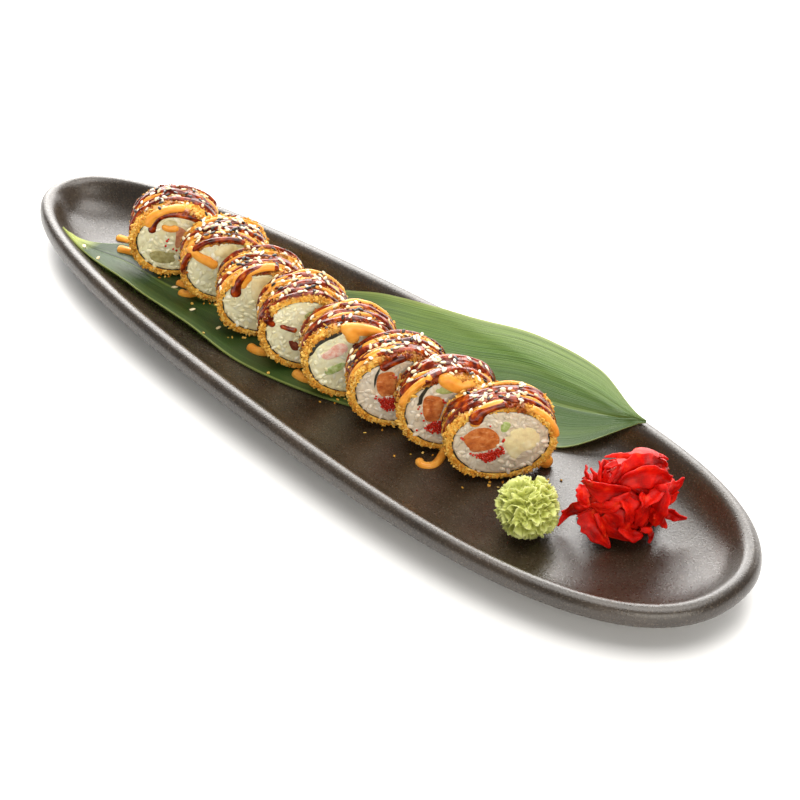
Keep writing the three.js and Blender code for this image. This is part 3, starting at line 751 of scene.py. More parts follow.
def round_model(name, subdivisions, change=lambda points: points):
    bpy.ops.mesh.primitive_ico_sphere_add(subdivisions=subdivisions, radius=MM)
    obj = added(name)
    place_points(obj, change(points_of(obj)))
    return model_of(obj)


def seed_form(points):
    narrow = 0.62 + 0.38 * np.sqrt(np.clip((1 - points[:, 0]) / 2 + 0.12, 0, 1))
    return points * np.stack([np.ones(len(points)), narrow, narrow], axis=1)


CRUMBS = crumb_models()
GRAIN = [round_model("grain", 2, lambda points: points + 0.1 * np.outer(points[:, 0] ** 2, [0, 0, 1]))]
BEAD = [round_model("bead", 2)]
SEED = [round_model("seed", 2, seed_form)]
print("kinds of crumb:", len(CRUMBS), "with", len(CRUMBS[0][1]), "faces each; a seed has", len(SEED[0][1]))

# %% Shape the breading of one piece
RING_SIDES, CRUMBS_PER_ROLL = 176, 2100
CRUST_LOWEST = 7.5  # over the table, where a piece rests on the leaf


def ring_section(roll, wall):
    """The ring's cross-section as (y, inset), and the way out from it."""
    half = roll.half
    knots = [(-half + 0.9, 0), (half - 0.9, 0), (half - 0.2, 0.3), (half, 0.9), (half, wall - 0.3),
             (half - 0.3, wall), (-half + 0.3, wall), (-half, wall - 0.3), (-half, 0.9), (-half + 0.2, 0.3)]
    line = []
    for a, b, steps in zip(knots, knots[1:] + knots[:1], (22, 2, 2, 4, 1, 8, 1, 5, 2, 2)):
        line += [np.array(a) + (np.array(b) - a) * k / steps for k in range(steps)]
    line = np.array(line)
    run = unit_long(np.roll(line, -1, 0) - np.roll(line, 1, 0))
    return line[:, 0], line[:, 1], run[:, 1], run[:, 0]


# %% Where the breading is stained or covered
SOAKED_WIDTH = 1.9
AT_ONCE = 4000  # points compared with the strands in one go


def soaked(roll, points):
    """How far the dark sauce has soaked in at each point, from 0 to 1."""
    lines = np.vstack([line[::5] for sauce, line, _ in RUNS[roll.number] if sauce == DARK])
    near = np.empty(len(points))
    for start in range(0, len(points), AT_ONCE):
        apart = points[start:start + AT_ONCE, None, :] - lines[None]
        near[start:start + AT_ONCE] = np.sqrt((apart ** 2).sum(2).min(1))
    top = smooth(5, 15, points[:, 2] - roll.middle) * (0.4 + 0.6 * lumps(points, 4, 3))
    return np.clip(np.exp(-(near / SOAKED_WIDTH) ** 2) + np.clip(top, 0, 1), 0, 1)


def under_sauce(roll, points):
    """Positive where a point is covered by a strand of sauce."""
    lines = np.vstack([line[::3] for _, line, _ in RUNS[roll.number]])
    radii = np.concatenate([radii[::3] for _, _, radii in RUNS[roll.number]])
    apart = np.sqrt(((points[:, None, :] - lines[None]) ** 2).sum(2))
    return (0.85 * radii - apart).max(1)


# %% Set the crumbs into the ring
def breading(roll):
    y, inset, out_y, out_r = ring_section(roll, CRUST)
    bpy.ops.mesh.primitive_torus_add(major_segments=RING_SIDES, minor_segments=len(y))
    ring = added("ring")
    angle = np.repeat(np.linspace(0, 2 * np.pi, RING_SIDES, endpoint=False), len(y))
    y, inset, out_y, out_r = (np.tile(v, RING_SIDES) for v in (y, inset, out_y, out_r))
    outside = inset < CRUST - 0.05
    inset = inset + roll.sunk(angle) * np.clip(1.3 - inset / (CRUST - 1), 0, 1)
    flat = roll.on_crust(angle, inset, y)
    swell = 0.42 * lumps(flat, 3.4, roll.number) + 0.3 * lumps(flat, 1.5, roll.number + 20)
    swell = np.where(outside, swell - 0.1, 0)
    points = roll.on_crust(angle, inset - out_r * swell, y + out_y * swell)
    points[:, 2] = np.maximum(points[:, 2], CRUST_LOWEST)
    place_points(ring, points)
    keep_values(ring, "shade", 0.5 + 0.4 * lumps(flat, 2.2, roll.number + 40))
    keep_values(ring, "soaked", soaked(roll, points))
    edited(ring, face_out)

    draw = np.random.default_rng(roll.number)
    open_points = np.flatnonzero(outside)
    picked = draw.choice(open_points, CRUMBS_PER_ROLL)
    lift = draw.uniform(-0.1, 0.45, len(picked))
    places = roll.on_crust(angle[picked] + draw.uniform(-0.02, 0.02, len(picked)),
                           inset[picked] - out_r[picked] * lift, y[picked] + out_y[picked] * lift)
    places[:, 2] = np.maximum(places[:, 2], CRUST_LOWEST + 0.2)
    sizes = draw.lognormal(-0.5, 0.32, (len(picked), 1))
    sizes = sizes * draw.uniform([0.8, 0.5, 0.35], [1.5, 0.8, 0.6], (len(picked), 3))
    bare = under_sauce(roll, places) < 0
    places, sizes = places[bare], sizes[bare]
    crumbs = copies("crumbs", CRUMBS, places, random_turns(draw, len(places)),
                    np.clip(sizes, 0.25, 1.5), draw)
    keep_values(crumbs, "soaked", np.repeat(soaked(roll, places), len(CRUMBS[0][0])))
    return joined([ring, crumbs], f"roll_{roll.number}_breading")


# %% Golden crumb finish
def golden_crumb():
    finish = Finish("golden_crumb", Specular_IOR_Level=0.2, Subsurface_Weight=0.12,
                    Subsurface_Scale=1.2 * MM)
    shade = finish.kept_and_noise("shade", 0.7, finish.noise(1.6, 4, 0.65), 0.45)
    crumb = finish.ramp(shade, [(0.15, "9c5716"), (0.36, "ca8729"), (0.56, "dfa642"),
                                (0.78, "eabb58"), (1.0, "f2d082")])
    wet = finish.kept("soaked")
    stain = finish.ramp(finish.noise(1.4, 3, 0.6), [(0.35, "5a1a07"), (0.6, "8f3a0f"), (0.8, "c2701f")])
    finish.paint(finish.mix(finish.mask(wet, 0.25, 0.85), crumb, stain))
    finish.gloss(finish.mask(wet, 0.9, 0.3), 0.2, 0.62)
    return finish.relief(finish.noise(0.5, 4, 0.7), 0.16, 0.8)


GOLDEN = golden_crumb()
breadings = {}
for roll in ROLLS:
    piece = breading(roll)
    breadings[roll.number] = finished(piece, GOLDEN, [f"roll_{roll.number}_crust"], angle=35)

# %% [markdown]
# ## Seaweed
# The sheet shows as a thin dark line between breading and rice, a little wavy, and in some
# pieces it folds in between rice and filling. A thin ring from a torus gives the line, and a
# short flat strip is joined on where the sheet folds in.

# %% Seaweed rings and folds
# for each piece that has them: half thickness of the fold, and points across and up its face
FOLDS = {
    5: [(0.8, [(-15.6, 5.0), (-12.6, 8.9), (-8.4, 11.8), (-3.6, 13.6), (-1, 14.5)])],
    6: [(0.45, [(-4.2, 13.9), (-6.6, 11), (-8.6, 7.6), (-9.6, 3)])],
    7: [(0.7, [(-4.0, 14.4), (-6.8, 12.6), (-9.2, 9.4), (-10.2, 6.6), (-11.6, 5.2)])],
}


def seaweed(roll):
    sides, steps, corner = 200, 12, 0.12
    bpy.ops.mesh.primitive_torus_add(major_segments=sides, minor_segments=steps)
    ring = added(f"roll_{roll.number}_seaweed")
    angle = np.repeat(np.linspace(0, 2 * np.pi, sides, endpoint=False), steps)
    around = np.tile(np.linspace(0, 2 * np.pi, steps, endpoint=False), sides)
    front = roll.half - 0.3
    y = front * np.sign(np.sin(around)) * np.abs(np.sin(around)) ** corner
    centre = CRUST + SEAWEED / 2
    flat = roll.on_crust(angle, centre, y)
    inset = centre + SEAWEED / 2 * np.cos(around) + 0.14 * lumps(flat, 6, roll.number)
    place_points(ring, roll.on_crust(angle, inset, y + 0.2 * lumps(flat, 2.5, 9)))
    pieces = [ring]
    for half_thick, points in FOLDS.get(roll.number, []):
        x, z = np.array(points).T
        x, z = roll.leaned(x, z)
        line = spline(np.stack([x, z, 0 * x], axis=1), 1.2)
        fold, u, v = flat_sheet("fold", len(line) - 1, 8)
        at = np.rint((u + 1) / 2 * (len(line) - 1)).astype(int)
        middle = roll.to_plate(line[at, 0], v * (roll.half - 0.2) - 0.25, line[at, 1])
        place_points(fold, middle)
        applied(fold, "SOLIDIFY", thickness=2 * half_thick * MM, offset=0)
        middle, spots = np.vstack([middle, middle]), points_of(fold)
        taper = np.sqrt(1 - 0.94 * np.abs(np.tile(u, 2)) ** 4)[:, None]
        wave = np.stack([lumps(spots, 3, k) for k in (31, 32, 33)], axis=1)
        place_points(fold, middle + (spots - middle) * taper + 0.5 * wave)
        pieces.append(fold)
    ring = joined(pieces, ring.name)
    return edited(ring, face_out)


# %% Seaweed finish
def seaweed_dark():
    finish = Finish("seaweed_dark", Roughness=0.45)
    finish.paint(finish.ramp(finish.noise(1.8, 3), [(0.3, "1d1c14"), (0.55, "2f2c20"), (0.8, "4a4533")]))
    return finish.relief(finish.noise(0.7, 3, 0.7), 0.1, 0.8)


SEAWEED_DARK = seaweed_dark()
for roll in ROLLS:
    finished(seaweed(roll), SEAWEED_DARK, [f"roll_{roll.number}_nori"], angle=50)

# %% [markdown]
# ## Fillings
# Every strip of filling runs from cut face to cut face. Its outline is an uneven closed curve
# that follows the solid's, and the two faces are slightly domed, as soft food is after a cut.
# A sphere is a handy start, because its rings can be pushed out into a face, a side and the
# other face without any seam.

# %% Outlines of the strips along each piece's leaning oval
OUTLINES = {
    (1, "salmon"): [(2.7, 7.7), (5.3, 6.3), (6.7, 4), (6.3, 2), (4.7, 0), (2.7, -2.7), (0.9, -4),
                    (0.3, -2), (1.3, 2), (1.8, 5)],
    (1, "omelette"): [(-3, 10), (0, 11.3), (2.7, 10), (3.3, 7.7), (1.2, 5), (-1.3, 4.8), (-3, 7)],
    (1, "cucumber"): [(-11.5, -4.5), (-8, -3.5), (-3, -5), (0, -6), (-0.7, -10), (-4, -11), (-9, -9.6),
                      (-11.4, -7.5)],
    (2, "cheese"): [(-3, 10.5), (1, 12), (5.5, 11.6), (8, 9.2), (7, 6), (3, 4.8), (-1, 6), (-3.3, 8)],
    (3, "cheese"): [(-4, 6), (-3, 10.5), (0, 12.6), (5, 12), (8.3, 9), (8.5, 4), (5.5, -2), (1, -3.4),
                    (-2.6, -1), (-4, 2)],
    (4, "avocado"): [(0.8, 7.5), (3.5, 9.5), (7.5, 9.3), (8.5, 6.5), (6, 4.3), (2.5, 4.5)],
    (4, "tuna"): [(-7, -3.5), (-4.5, -4.2), (-3, -6.5), (-3.8, -9), (-6, -8.5), (-7, -6)],
    (5, "crab"): [(-11.7, 4), (-8.7, 6), (-5.3, 8.3), (-2.7, 9), (-0.3, 7.7), (0, 5.3), (-2, 3.3),
                  (-6, 2), (-10, 1.7)],
    (5, "cucumber"): [(-11.2, -5), (-10, -2.7), (-6, -1.3), (-2.5, -0.7), (-2, -2.7), (-5, -4.7),
                      (-9, -6)],
    (5, "cheese"): [(0.6, -1), (1, 4.4), (2, 8.4), (4, 9.4), (5.8, 7), (5.4, 2), (3.6, -2)],
    (6, "salmon"): [(-7.3, 8.7), (-4, 9.7), (-0.7, 8.7), (0.3, 4.7), (0, 0), (-2, -2.8), (-6.7, -2.7),
                    (-8.6, 0), (-8.7, 4.7)],
    (6, "roe"): [(-8.6, -4), (-5.8, -3.4), (-2, -3.8), (-1.8, -7.4), (-4, -9.2), (-6.8, -8.6)],
    (7, "salmon"): [(-8.3, 8.7), (-4.7, 9.3), (-1.7, 7.3), (-0.6, 4.7), (-2, 0.7), (-4, -3.6), (-8, -4),
                    (-9.8, -1.3), (-9.7, 4.7)],
    (7, "roe"): [(-9.2, -5.8), (-6.2, -4.6), (-2.6, -4.8), (-2.2, -7.6), (-4.6, -9.2), (-7.6, -8.8)],
    (7, "avocado"): [(-4, 10.6), (-2.6, 12.2), (0, 12.8), (3.6, 11.6), (4.4, 9.8), (1.4, 8.8), (-1.6, 9)],
    (8, "salmon"): [(-14.6, 4.3), (-11.3, 7), (-7.3, 8), (-3.3, 7), (-0.6, 4), (0, 0.3), (-1.5, -2.5),
                    (-5.3, -3.6), (-10, -4), (-12.3, -3), (-13.7, 0), (-14.7, 2.7)],
    (8, "cheese"): [(0.8, 0), (2.3, 2.6), (5, 5.2), (9, 6), (13, 4.8), (15.5, 1.5), (15, -3),
                    (11.6, -5.6), (8.2, -6.4), (6.4, -8.4), (4.6, -10.2), (3, -8.2), (1.6, -5),
                    (0.9, -2.5)],
    (8, "cucumber"): [(0.6, 4.6), (0.6, 7.6), (2, 9.4), (4.2, 8.8), (4.4, 6.8), (2.6, 4.4)],
    (8, "roe"): [(-9.6, -5.2), (-6.5, -4.6), (-3, -4), (0, -3.8), (0.4, -5.6), (-2.6, -7.4), (-5, -9.2),
                 (-8, -8.2)],
}


# %% Shape a strip of filling
CURVE_POINTS = 180
FACE_SHARE = 0.42  # of the sphere, from a pole, that becomes a cut face


def closed_curve(points):
    """Angles and radii about the middle of a smooth closed curve through the points."""
    points = np.array(points, float)
    ring = np.vstack([points[-3:], points, points[:4]])
    share = (3 + np.linspace(0, len(points), 40 * len(points), endpoint=False)) / (len(ring) - 1)
    line = np.stack([along_curve(ring[:, k], share) for k in (0, 1)], axis=1)
    middle = line.mean(0)
    angle = np.arctan2(*(line - middle).T[::-1])
    order = np.argsort(angle)
    around = np.linspace(-np.pi, np.pi, CURVE_POINTS, endpoint=False)
    reach = np.linalg.norm(line - middle, axis=1)
    radius = np.interp(around, angle[order], reach[order], period=2 * np.pi)
    return middle, around, radius


def strip(name, roll, curve, dome=0.3, rough=0.25, short=0.35, lip=0.06):
    """A strip of filling that runs through a roll, with an uneven outline."""
    bpy.ops.mesh.primitive_uv_sphere_add(segments=72, ring_count=34, radius=1)
    obj = added(name)
    unit = points_of(obj) * MM
    down = np.arccos(np.clip(unit[:, 2], -1, 1)) / np.pi
    spread = np.clip(np.minimum(down, 1 - down) / FACE_SHARE, 0, 1)
    spread = spread * (1 - lip * smooth(0.94, 0.99, spread) * (1 - smooth(0.99, 1, spread)))
    middle, around, radius = curve
    angle = np.arctan2(unit[:, 1], unit[:, 0])
    reach = np.interp(angle, around, radius, period=2 * np.pi) * spread ** 0.8
    x = middle[0] + reach * np.cos(angle)
    z = middle[1] + reach * np.sin(angle)
    depth = roll.half - short
    y = np.interp(down, [0, FACE_SHARE, 1 - FACE_SHARE, 1], [-depth, -depth, depth, depth])
    y = y + np.sign(down - 0.5) * dome * np.where(spread < 1, np.sqrt(1 - spread ** 4), 0)
    uneven = lumps(np.stack([x, z, np.sign(down - 0.5)], 1) + 7, 2.6, roll.number)
    y = y + np.where(spread < 1, rough * uneven, 0)
    place_points(obj, roll.at(x, y, z))
    return edited(obj, weld_and_face_out)


# %% Finishes of the fillings
def fish_orange(name, dark, mid, pale):
    finish = Finish(name, Roughness=0.3, Subsurface_Weight=0.25, Subsurface_Scale=2.0 * MM)
    lines = finish.noise(4.2, 2, 0.5, (1, 1, 3.2))
    flesh = finish.ramp(finish.noise(2.6, 3), [(0.3, dark), (0.52, mid), (0.75, pale)])
    finish.paint(finish.tinted(flesh, finish.mask(lines, 0.6, 0.68), 0.45, "efb988"))
    return finish.relief(finish.noise(1.2, 3), 0.12, 0.6)


def soft_filling(name, stops, size=2.4, gloss=0.35):
    finish = Finish(name, Roughness=gloss, Subsurface_Weight=0.3, Subsurface_Scale=1.6 * MM)
    finish.paint(finish.ramp(finish.noise(size, 4, 0.6), stops))
    return finish.relief(finish.noise(1.0, 3, 0.6), 0.12, 0.6)


FILLINGS = {
    "salmon": fish_orange("salmon_orange", "a04a18", "c86e34", "e09858"),
    "omelette": soft_filling("omelette_pale", [(0.3, "b9aa72"), (0.55, "d3c692"), (0.8, "e6dfb8")]),
    "cucumber": soft_filling("cucumber_green", [(0.3, "8aa04a"), (0.5, "b2c07c"), (0.64, "ccd8a2"),
                                                (0.8, "93bb52")], 2.0),
    "cheese": soft_filling("cheese_cream", [(0.3, "dcc693"), (0.55, "eedfae"), (0.8, "f9f1d2")], 4.0),
    "avocado": soft_filling("avocado_green", [(0.3, "8f9a4e"), (0.55, "b3ba78"), (0.8, "cfd29a")], 2.6),
    "tuna": soft_filling("tuna_dark", [(0.3, "5e2414"), (0.55, "7e3520"), (0.8, "a05a3a")], 1.6, 0.25),
    "crab": soft_filling("crab_pink", [(0.28, "d98a78"), (0.45, "e6ab98"), (0.58, "f0d5c6"),
                                       (0.75, "e39c88")], 2.2),
    "roe": soft_filling("roe_red", [(0.3, "9c1608"), (0.55, "c4260e"), (0.8, "de4420")], 1.2, 0.18),
}
# the first piece's salmon and cucumber are paler than the others'
PALER = {
    "roll_1_salmon": fish_orange("salmon_pale", "b06646", "cc8a66", "e0ac88"),
    "roll_1_cucumber": soft_filling("cucumber_tan", [(0.3, "8d8350"), (0.5, "ada36e"), (0.7, "c4bd8c"),
                                                     (0.85, "a7a65c")], 2.0),
}

# %% Lay the strips
CURVES = {key: closed_curve(outline) for key, outline in OUTLINES.items()}
for (number, kind), curve in CURVES.items():
    node = f"roll_{number}_{kind}"
    piece = strip(f"{node}_strip", ROLLS[number - 1], curve)
    finished(piece, PALER.get(node, FILLINGS[kind]), [node], angle=40)

# %% [markdown]
# ## Rice
# The rice is a pressed body with grains that show at both cut faces. Whole grains all through
# would never be seen, so a body fills the seaweed ring a little behind each face, and grains
# are scattered over it wherever no filling is, lying mostly flat, as a knife leaves them. The
# rice of the five far pieces is creamier than that of the three near ones.

# %% Find room for grains and beads
def inside_outline(curve, x, z, grow):
    middle, around, radius = curve
    dx, dz = x - middle[0], z - middle[1]
    reach = np.interp(np.arctan2(dz, dx), around, radius, period=2 * np.pi)
    return np.hypot(dx, dz) < reach + grow


def spread_spots(draw, accept, reach_x, reach_z, apart, tries):
    spots = np.empty((0, 2))
    for spot in draw.uniform([-reach_x, -reach_z], [reach_x, reach_z], (tries, 2)):
        if accept(*spot) and (len(spots) == 0 or np.hypot(*(spots - spot).T).min() > apart):
            spots = np.vstack([spots, spot])
    return spots


# %% Pressed body and grains of one piece
GRAIN_APART, GRAIN_TRIES = 1.75, 1500


def rice(roll):
    edge = CRUST + SEAWEED - 0.05
    around = np.linspace(0, 2 * np.pi, 60, endpoint=False)
    x, z = roll.oval(around, edge)
    back_to_oval = np.array([[math.cos(LEAN), math.sin(LEAN)], [-math.sin(LEAN), math.cos(LEAN)]])
    outline = np.stack([x, z], axis=1) @ back_to_oval.T
    body = strip(f"roll_{roll.number}_rice_body", roll, closed_curve(outline),
                 dome=0.0, rough=0.22, short=0.38, lip=0)
    keep_values(body, "shade", 0.4 + 0.2 * lumps(points_of(body), 2, 1))
    taken = [curve for (number, _), curve in CURVES.items() if number == roll.number]
    draw = np.random.default_rng(60 + roll.number)

    def free(x, z):
        if any(inside_outline(shape, x, z, 0.1) for shape in taken):
            return False
        for thick, fold in FOLDS.get(roll.number, []):
            if np.hypot(*(spline(np.array(fold, float), 0.8) - [x, z]).T).min() < thick + 0.9:
                return False
        lift = 1 if z > 0 else UNDER_SHARE
        return math.hypot(x / (roll.width / 2 - edge - 0.7),
                          z / (roll.height / 2 - edge * lift - 0.7)) < 1

    pieces = [body]
    for side in (-1, 1):
        spots = spread_spots(draw, free, roll.width / 2, roll.height / 2, GRAIN_APART, GRAIN_TRIES)
        count = len(spots)
        depth = roll.half - 0.97 + draw.uniform(-0.25, 0.12, count)
        places = roll.at(spots[:, 0], side * depth, spots[:, 1])
        way = roll.to_plate(0, 1, 0) - roll.to_plate(0, 0, 0)
        turns = turns_towards(draw, np.tile(way * side, (count, 1)), 0.25)
        sizes = draw.uniform([1.8, 1.0, 0.75], [2.7, 1.3, 1.0], (count, 3))
        pieces.append(copies("grains", GRAIN, places, turns, sizes, draw))
    return joined(pieces, f"roll_{roll.number}_rice_grains")


# %% Rice finishes
def rice_white(name, stops):
    finish = Finish(name, Roughness=0.3, Subsurface_Weight=0.3, Subsurface_Scale=1.5 * MM)
    finish.paint(finish.ramp(finish.kept_and_noise("shade", 0.35, finish.noise(3.0, 3), 0.8), stops))
    return finish.relief(finish.noise(0.6, 2), 0.05, 0.5)


RICE_CREAM = rice_white("rice_cream", [(0.1, "dccc92"), (0.35, "f3e8b4"), (0.6, "fcf5ca"), (0.9, "fffce6")])
RICE_PEARL = rice_white("rice_pearl", [(0.1, "baa588"), (0.35, "d5c2a6"), (0.6, "e4d3ba"), (0.9, "f4e9d6")])
for roll in ROLLS:
    white = RICE_CREAM if roll.number < 6 else RICE_PEARL
    finished(rice(roll), white, [f"roll_{roll.number}_rice"])

# %% Beads of roe over the red strips
BEAD_APART, BEAD_TRIES = 0.72, 2600
# beads that fell beside the strips, on the front faces
BEAD_SPOTS = {
    1: [(-2.7, 0.7), (-3.7, -1.7), (-0.7, -3.7), (0.6, -4.6), (-1.9, 1.6)],
    6: [(-9.2, -1.6), (-1.2, 5.8), (-0.4, 6.6), (-9.6, -2.6), (-1.4, 7.4)],
    7: [(-10.8, 4.2), (-11.4, 3.2), (-1.0, 5.3), (-0.4, 4.6), (-1.2, 6.2), (-13, -7), (-9.8, -2.8),
        (-10.4, 1)],
    8: [(-15.0, 3.9), (-14.4, 3.2), (0.9, 0.1), (1.3, 0.8), (-0.4, -2.2), (0.2, -3.2), (-0.6, -4.2),
        (-1.4, -4.6), (-0.2, -5.4), (-3.4, 8.2), (-12.2, -4.2), (-11.2, -5)],
}


def roe_beads():
    draw = np.random.default_rng(5)
    places = []
    for (number, kind), curve in CURVES.items():
        if kind != "roe":
            continue
        roll = ROLLS[number - 1]
        for side in (-1, 1):
            spots = spread_spots(draw, lambda x, z: inside_outline(curve, x, z, 0.6), 16, 12,
                                 BEAD_APART, BEAD_TRIES)
            if side < 0:
                spots = np.vstack([spots, BEAD_SPOTS[number]])
            depth = roll.half - 0.25 + draw.uniform(-0.15, 0.3, len(spots))
            places.append(roll.at(spots[:, 0], side * depth, spots[:, 1]))
    across, up = np.array(BEAD_SPOTS[1]).T
    places.append(ROLLS[0].at(across, 0.2 - ROLLS[0].half, up))
    places = np.vstack(places)
    sizes = draw.uniform(0.42, 0.62, (len(places), 1)) * np.ones(3)
    return copies("roe_beads", BEAD, places, random_turns(draw, len(places)), sizes, draw)


finished(roe_beads(), FILLINGS["roe"])

# %% [markdown]
# ## The sauces as solid strands
# A strand of thick sauce is a round bead half sunk into the crumbs. A curve with a bevel gives
# it, with its own radius at each point so that it swells, thins and ends in a drop. The curve
# is made a mesh, pressed lower where it stands out, and remeshed, so that strands that cross
# flow together. A Smooth modifier takes off the steps that remeshing leaves.

# %% Pour the sauces
SAUCE_VOXEL = 0.45  # size of the cells that the strands are remeshed with
SPECK_POINTS = 100  # a loose bit with fewer points than this is a bubble


def settled(roll, points, share=0.7):
    """Thick sauce settles: what stands out of the crumbs or a cut face is pressed lower."""
    across, y, up = roll.from_plate(points)
    reach = np.hypot(across / (roll.width / 2 - roll.room), up / (roll.height / 2 - roll.room))
    lower = np.where(reach > 1, 1 + (reach - 1) * share, reach) / reach
    front = np.abs(y) - roll.half
    y = np.sign(y) * (roll.half + np.where(front > 0, share * front, front))
    return roll.at(across * lower, y, up * lower)


def poured(name, runs, roll=None):
    bpy.ops.curve.primitive_bezier_curve_add()
    obj = added(name)
    curve = obj.data
    curve.splines.clear()
    for _, line, radii in runs:
        strand = curve.splines.new("POLY")
        strand.points.add(len(line) - 1)
        places = np.hstack([line * MM, np.ones((len(line), 1))])
        strand.points.foreach_set("co", places.astype(np.float32).ravel())
        strand.points.foreach_set("radius", radii.astype(np.float32))
    curve.bevel_depth = MM
    curve.bevel_resolution = 3
    curve.use_fill_caps = True
    bpy.ops.object.convert(target="MESH")
    obj = edited(added(name), weld_and_face_out)
    if roll is not None:
        place_points(obj, settled(roll, points_of(obj)))
    applied(obj, "REMESH", mode="VOXEL", voxel_size=SAUCE_VOXEL * MM)
    applied(obj, "SMOOTH", factor=0.5, iterations=3)
    return obj


def without_specks(obj):
    """The piece without the tiny bubbles that remeshing leaves where strands cross."""
    name = obj.name
    edited(obj, lambda: bpy.ops.mesh.separate(type="LOOSE"))
    parts = list(bpy.context.selected_objects)
    kept = [part for part in parts if len(part.data.vertices) >= SPECK_POINTS]
    for part in parts:
        if part not in kept:
            bpy.data.objects.remove(part)
    return joined(kept, name)


# %% Sauce finishes
def orange_cream():
    finish = Finish("orange_cream", Roughness=0.3, Specular_IOR_Level=0.3, Subsurface_Weight=0.2,
                    Subsurface_Scale=1.4 * MM)
    finish.paint(finish.ramp(finish.noise(5, 2), [(0.3, "d8862a"), (0.55, "e89d3b"), (0.8, "f2b356")]))
    return finish.relief(finish.noise(1.8, 2), 0.12, 0.5)


def dark_syrup():
    finish = Finish("dark_syrup", Roughness=0.07, Specular_IOR_Level=0.38, Subsurface_Weight=0.15,
                    Subsurface_Scale=1.5 * MM)
    finish.paint(finish.ramp(finish.noise(3.2, 3), [(0.3, "2c0702"), (0.46, "621803"), (0.6, "983608"),
                                                    (0.78, "c46c18")]))
    return finish.relief(finish.noise(1.6, 2), 0.12, 0.5)


SAUCES = {}
for sauce, finish in ((ORANGE, orange_cream()), (DARK, dark_syrup())):
    pools = [poured("tongues", [run for run in tongues() if run[0] == sauce])]
    for roll in ROLLS:
        pools.append(poured("strands", [run for run in RUNS[roll.number] if run[0] == sauce], roll))
    SAUCES[sauce] = finished(without_specks(joined(pools, f"{sauce}_strands")), finish)

# %% [markdown]
# ## Sesame
# White and black seeds lie over the tops, on the sauce and the crumbs alike. Each seed is
# dropped straight in towards the roll until it meets something, so none hangs in the air. One
# flattened teardrop is the model for all of them.

# %% Find where a seed lands
DROP_HEIGHT, DROP_REACH = 9, 13  # over the crust, and how far it falls at most


def landed(roll, angle, y):
    """Where something dropped in towards the roll first touches it, and the way out there."""
    start = roll.on_crust(angle, -DROP_HEIGHT, y) * MM
    inward = unit_long(roll.on_crust(angle, 0, y) * MM - start)
    touched = []
    for obj in (breadings[roll.number], SAUCES[ORANGE], SAUCES[DARK]):
        hit, place, normal, _ = obj.ray_cast(start, inward, distance=DROP_REACH * MM)
        if hit:
            touched.append((np.linalg.norm(np.array(place) - start), tuple(place), tuple(normal)))
    if not touched:
        return None
    _, place, normal = min(touched)
    return np.array(place) / MM, unit_long(np.array(normal) - 1.6 * inward)


# %% Drop the seeds
# white and black seeds over each piece, and the middle and spread of their angle on it
SEED_COUNTS = [(34, 16), (62, 26), (34, 16), (40, 9), (20, 7), (48, 14), (36, 6), (34, 9)]
SEED_ANGLE, SEED_SPREAD = 84, 33
FALLEN_SEEDS = [(-158.5, -18.3), (-146.8, -19.7), (-109.3, -7.2), (-89.8, -13.6), (-71.5, -14.6)]


def sprinkled(name, which, draw):
    places, ways = [], []
    for roll in ROLLS:
        for _ in range(SEED_COUNTS[roll.number - 1][which]):
            angle = math.radians(draw.normal(SEED_ANGLE, SEED_SPREAD))
            y = (draw.beta(1.4, 1.4) - 0.5) * (roll.thickness - 1)
            landing = landed(roll, angle, y)
            if landing is not None:
                place, way = landing
                places.append(place + 0.3 * way)
                ways.append(way)
    places, ways = np.array(places), np.array(ways)
    sizes = draw.uniform([1.15, 0.68, 0.38], [1.55, 0.88, 0.5], (len(places), 3))
    return copies(name, SEED, places, turns_towards(draw, ways, 0.22), sizes, draw)


def fallen(name, spots, draw):
    places = np.array([(x, y, height_under(x, y) + 0.4) for x, y in spots])
    sizes = draw.uniform([1.35, 0.8, 0.45], [1.7, 0.95, 0.55], (len(places), 3))
    turns = turns_towards(draw, np.tile([0, 0, 1.0], (len(places), 1)), 0.08)
    return copies(name, SEED, places, turns, sizes, draw)


# %% Seed finishes
def seed_skin(name, stops, gloss):
    finish = Finish(name, Roughness=gloss, Subsurface_Weight=0.05)
    finish.paint(finish.ramp(finish.kept_and_noise("shade", 0.7, finish.noise(0.9, 2), 0.4), stops))
    return finish.relief(finish.noise(0.35, 2), 0.03, 0.5)


draw = np.random.default_rng(12)
white = joined([sprinkled("white_sesame", 0, draw), fallen("fallen", FALLEN_SEEDS, draw)], "white_sesame")
white_skin = seed_skin("sesame_white", [(0.2, "d9c08c"), (0.5, "efe0b8"), (0.9, "fbf3dc")], 0.4)
black_skin = seed_skin("sesame_black", [(0.2, "0d0b0a"), (0.6, "241d1b"), (1.0, "4a403c")], 0.3)
finished(white, white_skin)
finished(sprinkled("black_sesame", 1, draw), black_skin)

# %% [markdown]
# ## Loose crumbs
# Frying leaves crumbs beside the row. They are the same crumb models, dropped onto the leaf
# and the plate close to the pieces.

# %% Drop the crumbs
LOOSE_PER_ROLL = 10


def loose_crumbs():
    draw = np.random.default_rng(31)
    places = []
    for roll in ROLLS:
        for _ in range(LOOSE_PER_ROLL):
            x = draw.normal(0, roll.width / 3.4)
            spot = roll.to_plate(x, -roll.half - abs(draw.normal(0.4, 1.6)), 0)
            places.append((spot[0], spot[1], height_under(spot[0], spot[1]) + 0.25))
    places = np.array(places)
    sizes = draw.uniform(0.3, 0.8, (len(places), 3))
    return copies("loose_crumbs", CRUMBS, places, random_turns(draw, len(places)), sizes, draw)


crumbs = loose_crumbs()
keep_values(crumbs, "soaked", np.zeros(len(crumbs.data.vertices)))
finished(crumbs, GOLDEN, angle=30)

